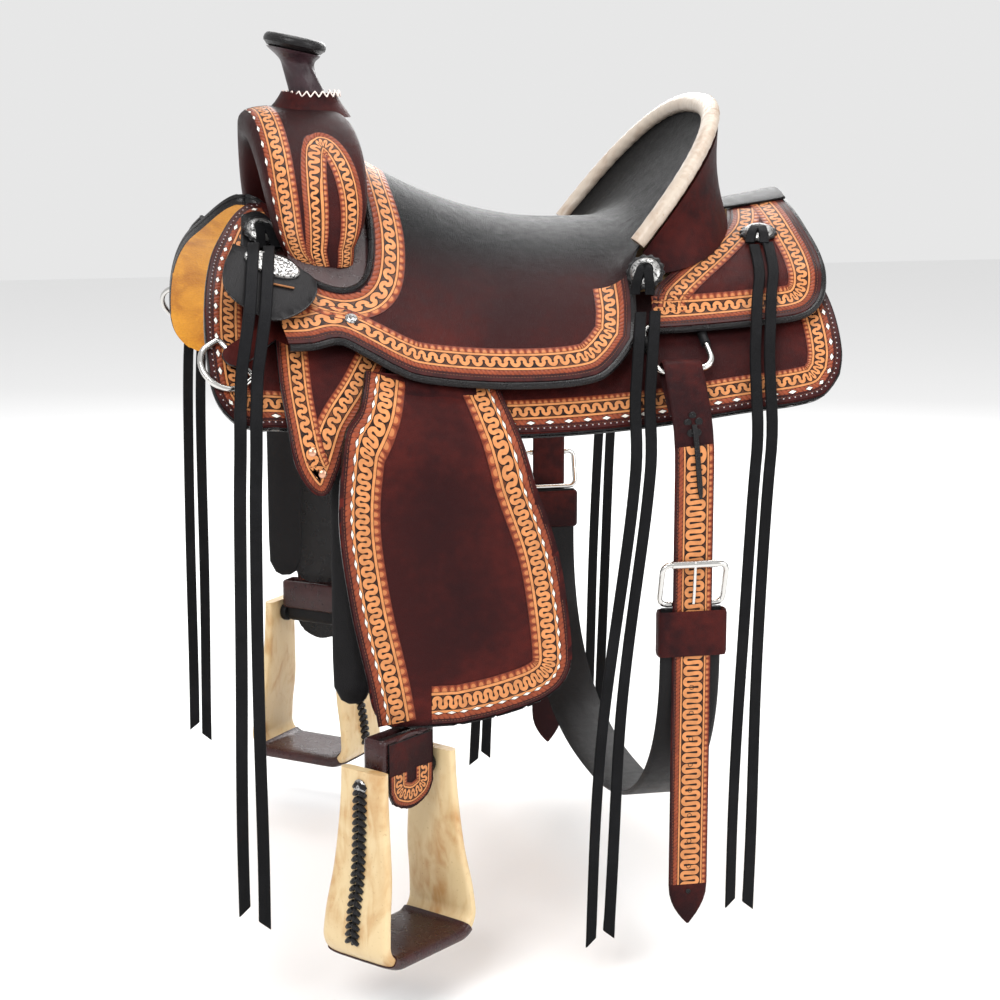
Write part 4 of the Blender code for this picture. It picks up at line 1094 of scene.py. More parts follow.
    def build_back(self) -> None:
        """The panel behind the cantle, flared out to the rear jockeys."""
        bm = bmesh.new()
        outer, inner = [], []
        for k in range(61):
            angle = math.radians(89.0 * (k / 30 - 1.0))
            head = rim_point(angle, 1.0) + Vector((0.004, 0.0, -0.008))
            foot = rim_point(angle, 1.0)
            foot.x += 0.017
            run = seat_s_of(foot)
            base = BACK.point(foot.x, math.copysign(run, foot.y or 1.0), rear_jockey_d(run) + REAR_THICK)
            foot.z = min(base.z, head.z - 0.004)
            away = Vector((math.cos(angle), math.sin(angle), 0.0))
            line = [head.lerp(foot, n / 8) + away * (self.back_thick - 0.006 * math.sin(math.pi * n / 8))
                    for n in range(9)]
            outer.append([bm.verts.new(p) for p in line])
            inner.append([bm.verts.new(p - away * self.back_thick) for p in line])
        skin(bm, outer, around=False)
        skin(bm, inner, around=False)
        for end in (0, -1):
            skin(bm, [outer[end], inner[end]], around=False)
        for end in (0, -1):
            skin(bm, [[row[end] for row in outer], [row[end] for row in inner]], around=False)
        piece("cantle_back_leather", bm, [PLAIN_OXBLOOD], self.body, ["cantle_back"])


# ------------------------------------------------------------------ rear jockeys
@dataclass
class RearJockeys:
    """Rear jockeys with their borders and the plate over their seam."""

    inner: tuple[Flat, ...] = (
        (0.256, 0.003), (0.256, 0.045), (0.240, 0.088), (0.205, 0.126), (0.165, 0.160),
        (0.134, 0.188), (0.124, 0.212), (0.118, 0.234))
    outer: tuple[Flat, ...] = (
        (0.118, 0.234), (0.167, 0.237), (0.232, 0.241), (0.272, 0.243), (0.294, 0.234),
        (0.308, 0.212), (0.313, 0.174), (0.313, 0.120), (0.316, 0.050), (0.318, 0.003))
    body: str = "saddle"

    def surface(self, x: float, s: float, h: float) -> Vector:
        """The rear jockey's top, h above it."""
        return BACK.point(x, s, rear_jockey_d(s) + REAR_THICK + h)

    def build(self, side: Side) -> None:
        """Builds one side."""
        word, sign = side.name, side.value
        shape = outline(self.inner, self.outer)
        place = lambda x, s, h: BACK.point(x, s, rear_jockey_d(s) + h * REAR_THICK)
        piece(f"rear_jockey_leather_{word}",
              panel_mesh(shape, place, sign, grid=0.010, bevel=0.0018, tones=edge_tones(shape, 0.09, 0.3)),
              PANEL, self.body, [f"rear_jockey_{word}"])
        strip(f"rear_jockey_border_{word}", curve(self.outer), REAR_TOOLING, self.surface, self.body, 0.0030,
              sign)
        strip(f"cantle_foot_border_{word}", curve(self.inner[1:-1]), REAR_TOOLING, self.surface, self.body,
              -0.006, sign)
        bm = bmesh.new()
        rim = [self.surface(x, sign * s, -0.0030) for x, s in resample(curve(self.outer), 0.006)]
        tube_mesh(bm, rim, 0.0036)
        piece(f"rear_jockey_roll_{word}", bm, [EDGE_LEATHER], self.body)

    def build_plate(self) -> None:
        """The plate over the seam behind the cantle."""
        shape = outline(((0.248, -0.040), (0.246, 0.0), (0.248, 0.040)), ((0.248, 0.040), (0.318, 0.046)),
                        ((0.318, 0.046), (0.324, 0.0), (0.318, -0.046)), ((0.318, -0.046), (0.248, -0.040)))
        low = REAR_OVER_BAR + REAR_THICK + 0.0005
        place = lambda x, s, h: BACK.point(x, s, low + 0.0035 * h)
        piece("seam_plate", panel_mesh(shape, place, 1, grid=0.012, bevel=0.0012),
              BLACK_PANEL, self.body, ["jockey_bridge"])


# ------------------------------------------------------------------ rigging
@dataclass
class Rigging:
    """Rigging leathers, dees, the tabs under the front conchos and the latigos."""

    body: str = "saddle"
    dee_wire: float = 0.0032
    rear_wire: float = 0.0036
    thick: float = 0.0035
    tab_thick: float = 0.003
    rear_dee_x: float = 0.138
    rear_dee_top: float = 0.222
    rear_dee_low: float = 0.287
    rivets: tuple[Flat, ...] = ((-0.256, 0.372), (-0.246, 0.388))
    tail: tuple[Flat, ...] = (
        (-0.284, 0.268), (-0.284, 0.320), (-0.278, 0.369), (-0.268, 0.394), (-0.254, 0.408),
        (-0.241, 0.406), (-0.231, 0.385), (-0.215, 0.350), (-0.190, 0.310), (-0.165, 0.262),
        (-0.160, 0.225), (-0.172, 0.188))
    tab_bell: tuple[Flat, ...] = (
        (-0.268, 0.172), (-0.252, 0.190), (-0.239, 0.202), (-0.238, 0.218), (-0.247, 0.236), (-0.264, 0.252),
        (-0.285, 0.263), (-0.304, 0.260), (-0.325, 0.250), (-0.334, 0.235), (-0.330, 0.208),
        (-0.318, 0.175), (-0.306, 0.135), (-0.300, 0.092))

    def rig_surface(self, x: float, s: float, h: float) -> Vector:
        """The rigging leather's top."""
        low = 0.013 + 0.0074 * ease(-0.262, -0.292, x)
        return BACK.point(x, s, low + self.thick + h, edge=FENDER_ROLL)

    def tab_d(self, s: float) -> float:
        """Underside of the tab under the front concho."""
        return 0.013 + (SEAT_TOP + 0.010 - 0.013) * ease(0.136, 0.182, abs(s))

    def build(self, side: Side) -> None:
        """Builds one side."""
        word, sign = side.name, side.value
        tongue = ((-0.276, 0.188), (-0.284, 0.240), (-0.338, 0.2936), (-0.3236, 0.3078), (-0.284, 0.268))
        shape = outline(((-0.172, 0.188), (-0.276, 0.188)), tongue, self.tail)
        place = lambda x, s, h: self.rig_surface(x, s, (h - 1.0) * self.thick)
        piece(f"rigging_panel_{word}",
              panel_mesh(shape, place, sign, grid=0.009, bevel=0.0009, tones=edge_tones(shape, 0.06, 0.4)),
              PANEL, self.body, [f"rigging_leather_{word}"])
        edge = curve(self.tail[:-2])
        strip(f"rigging_border_{word}", edge, RIG_TOOLING, self.rig_surface, self.body, 0.0015, sign)
        bm = bmesh.new()
        rivet = ((0.0004, -0.001), (0.0042, -0.001), (0.0044, 0.0006), (0.0034, 0.0016), (0.0008, 0.0021))
        for x, s in self.rivets:
            spot = self.rig_surface(x, sign * s, 0.0)
            up = self.rig_surface(x, sign * s, 0.01) - spot
            lathe_mesh(bm, rivet, facing(spot, up), 20)
        piece(f"rigging_rivets_{word}", bm, [COPPER], self.body)
        self.build_tab(word, sign)
        self.build_front_dee(word, sign)
        self.build_rear_dee(word, sign)
        self.build_latigo(word, sign)

    def build_tab(self, word: str, sign: int) -> None:
        """The bell-shaped tab with its oval plate and a short thong."""
        shape = outline(((-0.268, 0.092), (-0.268, 0.172)), self.tab_bell,
                        ((-0.300, 0.092), (-0.281, 0.086), (-0.268, 0.092)))
        top = lambda x, s, h: BACK.point(x, s, self.tab_d(s) + self.tab_thick + h)
        place = lambda x, s, h: top(x, s, (h - 1.0) * self.tab_thick)
        piece(f"concho_tab_{word}", panel_mesh(shape, place, sign, grid=0.007, bevel=0.0009),
              BLACK_PANEL, self.body, [f"rope_tab_{word}"])
        rings = ((0.05, 0.0030), (0.55, 0.0028), (0.80, 0.0024), (0.86, 0.0034), (0.95, 0.0034), (1.0, 0.0022),
                 (1.0, -0.0004))
        plate = lambda share, a, height: top(-0.281 + share * (0.004725 * math.sin(a) + 0.0275 * math.cos(a)),
                                             sign * (0.196 + 0.0150 * share * math.sin(a)), height)
        piece(f"oval_plate_{word}", oval_mesh(rings, plate), [SILVER], self.body)
        bm = bmesh.new()
        path = [top(x, sign * 0.2215, 0.0012) for x in (-0.292, -0.284, -0.276, -0.268, -0.262)]
        tube_mesh(bm, path, 0.0017, squash=0.6)
        piece(f"tab_thong_{word}", bm, [RUSSET_THONG], self.body)

    def build_front_dee(self, word: str, sign: int) -> None:
        """The free front dee."""
        half, turn = 0.0235, math.sqrt(0.5)
        bow = [math.pi * n / 18 for n in range(19)]
        flat = [(-0.021, 0.0), (0.021, 0.0), (half, 0.003)]
        flat += [(half * math.cos(a), 0.016 + 0.026 * math.sin(a)) for a in bow]
        flat += [(-half, 0.003)]
        loop = resample([*flat, flat[0]], 0.003)[:-1]
        path = [BACK.point(-0.325 + turn * (u - v), sign * (0.295 + turn * (u + v)), 0.016) for u, v in loop]
        bm = bmesh.new()
        tube_mesh(bm, path, self.dee_wire, 12, closed=True)
        piece(f"front_ring_{word}", bm, [NICKEL], f"front_dee_{word}", [f"front_dee_{word}"])

    def build_rear_dee(self, word: str, sign: int) -> None:
        """The fixed rear dee with its wrapped top."""
        half = 0.031
        middle, high = (self.rear_dee_low + self.rear_dee_top) / 2, (self.rear_dee_low - self.rear_dee_top) / 2
        at = lambda x, s: BACK.point(x, sign * s, 0.016 + 0.011 * ease(0.236, self.rear_dee_low, s))
        points = [(self.rear_dee_x + a, middle + b) for a, b in rounded_box(half, high, 0.012, 6)]
        path = [at(x, s) for x, s in resample([*points, points[0]], 0.004)[:-1]]
        bm = bmesh.new()
        tube_mesh(bm, path, self.rear_wire, 12, closed=True)
        piece(f"rear_ring_{word}", bm, [NICKEL], self.body, [f"rear_dee_{word}"])
        bm = bmesh.new()
        for x in (self.rear_dee_x - half, self.rear_dee_x + half):
            tube_mesh(bm, [at(x, s) for s in (0.238, 0.244, 0.250, 0.256)], 0.0050, 12)
        piece(f"rear_ring_wraps_{word}", bm, [BLACK_LEATHER], self.body)

    def build_latigo(self, word: str, sign: int) -> None:
        """The latigo that hangs behind the rigging."""
        path = [BACK.point(-0.215, sign * s, -0.0045, edge=0.350) for s in
                (0.374, 0.385, 0.395, 0.41, 0.44, 0.48, 0.52, 0.56, 0.590, 0.604, 0.608)]
        widths = [0.042] * 8 + [0.040, 0.026, 0.012]
        bm = bmesh.new()
        strap_mesh(bm, path, widths, 0.004, Vector((1, 0, 0)))
        piece(f"latigo_strap_{word}", bm, [BLACK_LEATHER], f"latigo_{word}", [f"latigo_{word}"])


# ------------------------------------------------------------------ fork and horn
@dataclass
class Fork:
    """Swell fork with its tooled cover, and the horn."""

    body: str = "saddle"
    outer: tuple[Flat, ...] = ((0.0, 0.165), (0.055, 0.158), (0.112, 0.128), (0.158, 0.084), (0.178, 0.044),
                               (0.182, 0.018), (0.180, 0.000))
    inner: tuple[Flat, ...] = ((0.0, 0.128), (0.040, 0.121), (0.078, 0.096), (0.104, 0.064), (0.120, 0.040),
                               (0.128, 0.029), (0.131, 0.023))
    base: Vector = field(default_factory=lambda: Vector((-0.2115, 0.0, 0.1640)))
    top: Vector = field(default_factory=lambda: Vector((-0.230, 0.0, 0.2235)))
    cap_tilt: float = math.radians(12.0)
    leg: float = 0.30           # length of the cover's face from its top to a foot
    girth: float = 0.150        # and across it, from front to rear
    tables: dict = field(default_factory=dict)

    def pick(self, share: float) -> tuple[Vector, Vector]:
        """Inner and outer edge of the section at a share of the way from top to foot."""
        found = []
        for run in (curve(self.inner, 10), curve(self.outer, 10)):
            at = min(max(share, 0.0), 1.0) * (len(run) - 1)
            k = min(int(at), len(run) - 2)
            found.append(Vector(run[k]).lerp(Vector(run[k + 1]), at - k))
        return found[0], found[1]

    def section(self, t: float, angle: float, swell: float = 0.0) -> Vector:
        """A point of the cover; t runs from -1 (near foot) to 1 (off foot), angle round the section."""
        share = abs(t)
        side = -1.0 if t < 0 else 1.0
        low, high = self.pick(share)
        front = -0.291 + 0.034 * share ** 1.3
        rear = -0.186 + 0.018 * math.sin(math.pi * min(1.0, share * 1.25)) - 0.004 * share
        middle, half = (low + high) / 2, (high - low) / 2
        across = half.normalized()
        x = (front + rear) / 2 + ((rear - front) / 2 + swell) * math.copysign(
            abs(math.cos(angle)) ** 0.6, math.cos(angle))
        spot = middle + across * (half.length + swell) * math.copysign(
            abs(math.sin(angle)) ** 0.6, math.sin(angle))
        return Vector((x, side * spot.x, spot.y))

    def surface(self, t: float, q: float, h: float) -> Vector:
        """A point of the outer face; q runs evenly from 0 at the front edge to 1 at the rear edge."""
        key = round(abs(t), 2)
        if key not in self.tables:
            angles = [math.pi * (1.0 - n / 60) for n in range(61)]
            spots = [self.section(key, a) for a in angles]
            runs = [0.0]
            for a, b in zip(spots, spots[1:]):
                runs.append(runs[-1] + (b - a).length)
            self.tables[key] = [(run / runs[-1], a) for run, a in zip(runs, angles)]
        table = self.tables[key]
        q = min(max(q, 0.0), 1.0)
        for (q0, a0), (q1, a1) in zip(table, table[1:]):
            if q <= q1:
                return self.section(t, a0 + (a1 - a0) * (q - q0) / (q1 - q0), h)
        return self.section(t, 0.0, h)

    def build(self) -> None:
        """Builds the cover, its borders and the horn."""
        bm = bmesh.new()
        layer_t, layer_s = bm.verts.layers.float.new("tone"), bm.verts.layers.float.new("soot")
        rows = []
        for k in range(-60, 61):
            t = k / 60
            row = []
            for angle in turns(48):
                q = 1.0 - angle / math.pi
                pleat = 0.0
                if 0.0 < q < 1.0 and 0.45 < abs(t) < 0.98:
                    pleat = -0.0016 * math.exp(-(((q - 0.66) / 0.035) ** 2)) * ease(0.45, 0.6, abs(t))
                vert = bm.verts.new(self.section(t, angle, pleat))
                vert[layer_t] = 0.35 + 0.4 * ease(0.5, 0.2, q) * ease(0.2, 0.6, abs(t))
                vert[layer_s] = 0.55 * ease(0.45, 0.10, abs(t))
                row.append(vert)
            rows.append(row)
        shell(bm, rows)
        piece("fork_leather", bm, [OXBLOOD_LEATHER], self.body, ["fork_cover"])
        self.build_bands()
        self.build_horn()

    def band(self, name: str, path: Sequence[Flat], tooling: Tooling, sign: int) -> None:
        """A tooled strip on the cover; the path holds t and q."""
        flat = [(t * self.leg, q * self.girth) for t, q in path]
        surface = lambda a, b, h: self.surface(sign * a / self.leg, b / self.girth, h)
        strip(name, flat, tooling, surface, self.body, step=0.003)

    def build_bands(self) -> None:
        """Front-edge bands and the arches round the swells."""
        for side in Side:
            word, sign = side.name, side.value
            front = curve([(0.02, 0.13), (0.15, 0.13), (0.35, 0.13), (0.55, 0.135), (0.72, 0.15), (0.86, 0.20),
                           (0.95, 0.28), (0.985, 0.38), (0.99, 0.50)], 8)
            self.band(f"fork_front_border_{word}", front[::-1], FORK_TOOLING, sign)
            arch = curve([(0.93, 0.375), (0.80, 0.365), (0.62, 0.365), (0.48, 0.37), (0.37, 0.405),
                          (0.30, 0.48), (0.28, 0.59), (0.31, 0.70), (0.40, 0.785), (0.53, 0.825),
                          (0.70, 0.84), (0.84, 0.84), (0.95, 0.82)], 8)
            self.band(f"swell_border_{word}", arch, SWELL_TOOLING, sign)

    def build_horn(self) -> None:
        """Wrapped neck, leather cap and the lacing at the base."""
        tilt = Vector((math.sin(self.cap_tilt), 0.0, math.cos(self.cap_tilt)))
        stations = curve([(0.0, 0.030), (0.05, 0.0275), (0.14, 0.0225), (0.30, 0.0195), (0.55, 0.0180),
                          (0.75, 0.0182), (0.86, 0.0215), (0.95, 0.0275), (1.0, 0.0300)], 5)
        bm = bmesh.new()
        rows = []
        for share, radius in stations:
            lean = self.cap_tilt * share
            middle = self.base.lerp(self.top, share)
            row = []
            for a in turns(40):
                fade = ease(0.08, 0.3, share) * ease(0.85, 0.7, share)
                twist = 0.0007 * math.sin(5 * a + 9.0 * share) * fade
                row.append(bm.verts.new(middle + (radius + twist) * Vector(
                    (math.cos(a) * math.cos(lean), math.sin(a), -math.cos(a) * math.sin(lean)))))
            rows.append(row)
        shell(bm, rows)
        piece("horn_neck", bm, [HORN_WRAP], self.body, ["horn_post"])
        bm = bmesh.new()
        cap = ((0.0005, -0.002), (0.022, -0.002), (0.0300, 0.0010), (0.0322, 0.0035), (0.0340, 0.0050),
               (0.0345, 0.0078), (0.0338, 0.0110), (0.0318, 0.0136), (0.0292, 0.0146), (0.0274, 0.0138),
               (0.0266, 0.0128), (0.0150, 0.0136), (0.0005, 0.0138))
        lathe_mesh(bm, cap, facing(self.top + tilt * 0.0005, tilt), 48)
        piece("horn_disc", bm, [EDGE_LEATHER], self.body, ["horn_cap"])
        bm = bmesh.new()
        flare = ((0.0250, -0.0080), (0.0470, -0.0080), (0.0430, -0.0020), (0.0370, 0.0050), (0.0325, 0.0120),
                 (0.0300, 0.0170), (0.0250, 0.0175))
        lathe_mesh(bm, flare, facing(self.base + Vector((-0.003, 0.0, -0.002)), Vector((0.04, 0.0, 1.0))), 48)
        piece("horn_flare", bm, [PLAIN_OXBLOOD], self.body)
        self.build_horn_lacing()

    def build_horn_lacing(self) -> None:
        """The zigzag of pale lace round the horn's base."""
        low, high, stitches = -0.0010, 0.0052, 22
        bm = bmesh.new()
        for a in turns(stitches):
            peak, end = a + 0.16, a + 2 * math.pi / stitches
            for stitch in (((a, low), (peak, high)), ((peak, high), (end, low))):
                ends = []
                for angle, up in stitch:
                    out = 0.0325 - 0.30 * max(0.0, up)
                    spoke = Vector((out * math.cos(angle), out * math.sin(angle), 0.0115 + up))
                    ends.append(self.base + spoke)
                tube_mesh(bm, ends, 0.0008, 6)
        piece("horn_lacing", bm, [PALE_LACE], self.body)


# ------------------------------------------------------------------ conchos and strings
@dataclass
class Strings:
    """Conchos and the saddle strings that hang from them."""

    body: str = "saddle"
    width: float = 0.0125
    gap: float = 0.003
    thick: float = 0.0028

    spots: ClassVar[dict[Place, Flat]] = {
        Place.front: (-0.281, 0.112), Place.cantle: (0.112, 0.200), Place.rear: (0.262, 0.118)}
    edges: ClassVar[dict[Place, float]] = {Place.front: 0.362, Place.cantle: 0.336, Place.rear: 0.334}
    ends: ClassVar[dict[Place, Flat]] = {
        Place.front: (0.812, 0.828), Place.cantle: (0.878, 0.870), Place.rear: (0.846, 0.850)}
    # s, x and stand-off along each string
    lines: ClassVar[dict[Place, tuple[tuple[float, float, float], ...]]] = {
        Place.front: ((0.137, -0.284, 0.0235), (0.150, -0.286, 0.0310), (0.170, -0.289, 0.0490),
                  (0.210, -0.295, 0.0548), (0.250, -0.301, 0.0548), (0.272, -0.305, 0.0530),
                  (0.300, -0.311, 0.0390), (0.330, -0.316, 0.0285), (0.420, -0.322, 0.026),
                  (0.620, -0.324, 0.026), (0.830, -0.325, 0.026)),
        Place.cantle: ((0.226, 0.108, 0.044), (0.250, 0.102, 0.040), (0.290, 0.093, 0.032),
                       (0.330, 0.086, 0.026), (0.420, 0.078, 0.026), (0.640, 0.052, 0.026),
                       (0.880, 0.040, 0.026)),
        Place.rear: ((0.142, 0.257, 0.0370), (0.185, 0.250, 0.0365), (0.215, 0.240, 0.0345),
                     (0.245, 0.232, 0.0310), (0.300, 0.220, 0.026), (0.400, 0.209, 0.026),
                     (0.600, 0.200, 0.026), (0.850, 0.194, 0.026)),
    }

    def under(self, place: Place, x: float, s: float) -> Flat:
        """Stand-off and lift of what the concho sits on."""
        if place is Place.front:
            return Rigging().tab_d(s) + 0.0035, 0.0
        if place is Place.cantle:
            return SEAT_TOP + 0.002, seat_lift(x, s)
        return REAR_OVER_BAR + REAR_THICK, 0.0

    def build(self, side: Side) -> None:
        """Builds one side's conchos and strings."""
        word, sign = side.name, side.value
        for place, (x, s) in self.spots.items():
            def at(dx: float, ds: float) -> Vector:
                stand, lift = self.under(place, x + dx, s + ds)
                return BACK.point(x + dx, sign * (s + ds), stand + 0.001, lift)
            step = 0.012
            face = (at(step, 0) - at(-step, 0)).cross(at(0, step) - at(0, -step)).normalized()
            face = face if face.z > 0 else -face
            self.build_concho(f"{place.name}_{word}", at(0, 0), face)
            for index in (0, 1):
                self.build_string(place, word, sign, index)

    def build_concho(self, label: str, centre: Vector, face: Vector) -> None:
        """Scalloped rosette, silver ring and the string's fold."""
        bm = bmesh.new()
        rosette = ((0.0005, -0.001), (0.0195, -0.001), (0.0210, 0.0002), (0.0210, 0.0016), (0.0196, 0.0026),
                   (0.0172, 0.0030), (0.0005, 0.0032))
        lathe_mesh(bm, rosette, facing(centre, face), 84, lobes=14, lobe_depth=0.09)
        piece(f"rosette_{label}", bm, [EDGE_LEATHER], self.body, [f"concho_{label}"])
        bm = bmesh.new()
        ring = ((0.0088, 0.0024), (0.0160, 0.0024), (0.0163, 0.0032), (0.0158, 0.0040), (0.0135, 0.0060),
                (0.0112, 0.0070), (0.0094, 0.0070), (0.0088, 0.0062))
        lathe_mesh(bm, ring, facing(centre, face), 40, closed=True)
        piece(f"silver_ring_{label}", bm, [SILVER], self.body)
        bm = bmesh.new()
        down = (Vector((0, 0, -1)) - face * face.dot(Vector((0, 0, -1)))).normalized()
        wide = face.cross(down).normalized()
        for turn in (-1, 1):
            run = [centre + face * h + down * d + wide * turn * w for h, d, w in
                   ((0.002, -0.0060, 0.001), (0.0062, -0.0050, 0.002), (0.0086, -0.0005, 0.0035),
                    (0.0088, 0.0060, 0.0050), (0.0080, 0.0130, 0.0064), (0.0052, 0.0200, 0.0074),
                    (0.0030, 0.0265, 0.0078))]
            smooth = [Vector(p) for p in curve([tuple(p) for p in run], 4)]
            strap_mesh(bm, smooth, 0.0105, 0.0024, wide)
        piece(f"string_fold_{label}", bm, [STRING_LEATHER], self.body)

    def build_string(self, place: Place, word: str, sign: int, index: int) -> None:
        """One hanging string, built as a flat cord.

        Args:
            place: the concho it hangs from.
            word: the side's name.
            sign: the side's sign.
            index: 0 for the front strand, 1 for the rear one.
        """
        shift = 2 * index - 1
        run = curve(self.lines[place], 8)
        end = self.ends[place][index]
        start = run[0][0]
        centre = shift * (self.gap + self.width) / 2
        path, ways = [], []
        steps = 72
        for k in range(steps + 1):
            s = start + (end - start) * k / steps
            for (s0, x0, d0), (s1, x1, d1) in zip(run, run[1:]):
                if s <= s1 + 1e-9:
                    t = (s - s0) / (s1 - s0)
                    x, d = x0 + (x1 - x0) * t, d0 + (d1 - d0) * t
                    break
            hang = ease(0.42, 0.80, s)
            sway = 0.0016 * math.sin(9.0 * s + 2.1 * index + 1.3 * sign) * hang
            fan = shift * 0.0012 * hang
            path.append(BACK.point(x + centre + sway + fan, sign * s, d + 0.0016 * (index - 0.5) * hang,
                                   edge=self.edges[place]))
            yaw = 0.30 * hang * math.sin(3.0 * s + 1.7 * index + sign)
            ways.append(Vector((math.cos(yaw), math.sin(yaw), 0.0)))
        bm = bmesh.new()
        strap_mesh(bm, path, self.width, self.thick, ways)
        cut = path[-1]
        for v in bm.verts:
            if (v.co - cut).length < self.width:
                v.co.z -= 0.010 * shift * (v.co.x - cut.x) / self.width
        obj = piece(f"string_{place.name}_{word}_{index + 1}", bm, [STRING_LEATHER], "",
                    [f"lace_{place.name}_{word}"])
        skirt_edge = BACK.point(path[40].x, sign * 0.36, 0.026, edge=self.edges[place])
        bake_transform(obj)
        self.width


# ------------------------------------------------------------------ fenders
@dataclass
class Fenders:
    """Fenders with their borders; the stirrup leathers get their finish here too."""

    shape: tuple[tuple[Flat, ...], ...] = (
        ((-0.196, 0.286), (-0.207, 0.330), (-0.226, 0.363), (-0.232, 0.430), (-0.222, 0.505), (-0.206, 0.575),
         (-0.200, 0.606), (-0.186, 0.624), (-0.165, FENDER_BOTTOM)),
        ((-0.165, FENDER_BOTTOM), (-0.112, FENDER_BOTTOM)),
        ((-0.112, FENDER_BOTTOM), (-0.066, 0.619), (-0.020, 0.604), (0.003, 0.580), (0.005, 0.541),
         (-0.008, 0.454), (-0.033, 0.380), (-0.049, 0.330), (-0.060, 0.286)))

    def surface(self, x: float, s: float, h: float) -> Vector:
        """The fender's face."""
        lift = 0.0 if abs(s) > 0.33 else -0.0035 * ease(0.330, 0.300, abs(s))
        return BACK.point(x, s, FENDER_TOP + h + lift, edge=FENDER_ROLL)

    def build(self, side: Side) -> None:
        """Builds one side."""
        word, sign = side.name, side.value
        shape = outline(*self.shape)
        place = lambda x, s, h: self.surface(x, s, (h - 1.0) * 0.0048)
        tones = edge_tones(shape, 0.13, 0.10)
        bm = panel_mesh(shape, place, sign, grid=0.009, tones=tones)
        leather = piece(f"fender_leather_{word}", bm, PANEL, "", [f"fender_{word}"])
        front_edge = [*curve(self.shape[0][:-2]), (-0.197, 0.6255)]
        front = strip(f"fender_border_front_{word}", front_edge, FENDER_TOOLING, self.surface, "", 0.0018,
                      sign)
        rear_edge = outline(((-0.140, 0.6268), (-0.112, 0.6268)), self.shape[2])
        rear = strip(f"fender_border_rear_{word}", rear_edge, FENDER_TOOLING, self.surface, "", 0.0018, sign)
        start = self.surface(-0.12, sign * 0.318, 0.0)
        end = self.surface(-0.12, sign * 0.346, 0.0)
        for leaf in (leather, front, rear):
            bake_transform(leaf)
        dress(f"stirrup_leather_{word}", PLAIN_OXBLOOD)


def dress(node: str, finish: "Leather | Metal | Wood | Rawhide") -> None:
    """Gives a kept frame node its finish."""
    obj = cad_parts[node]
    material = WARDROBE.get(finish)
    if not obj.material_slots:
        obj.data.materials.append(material)
    for slot in obj.material_slots:
        slot.material = material


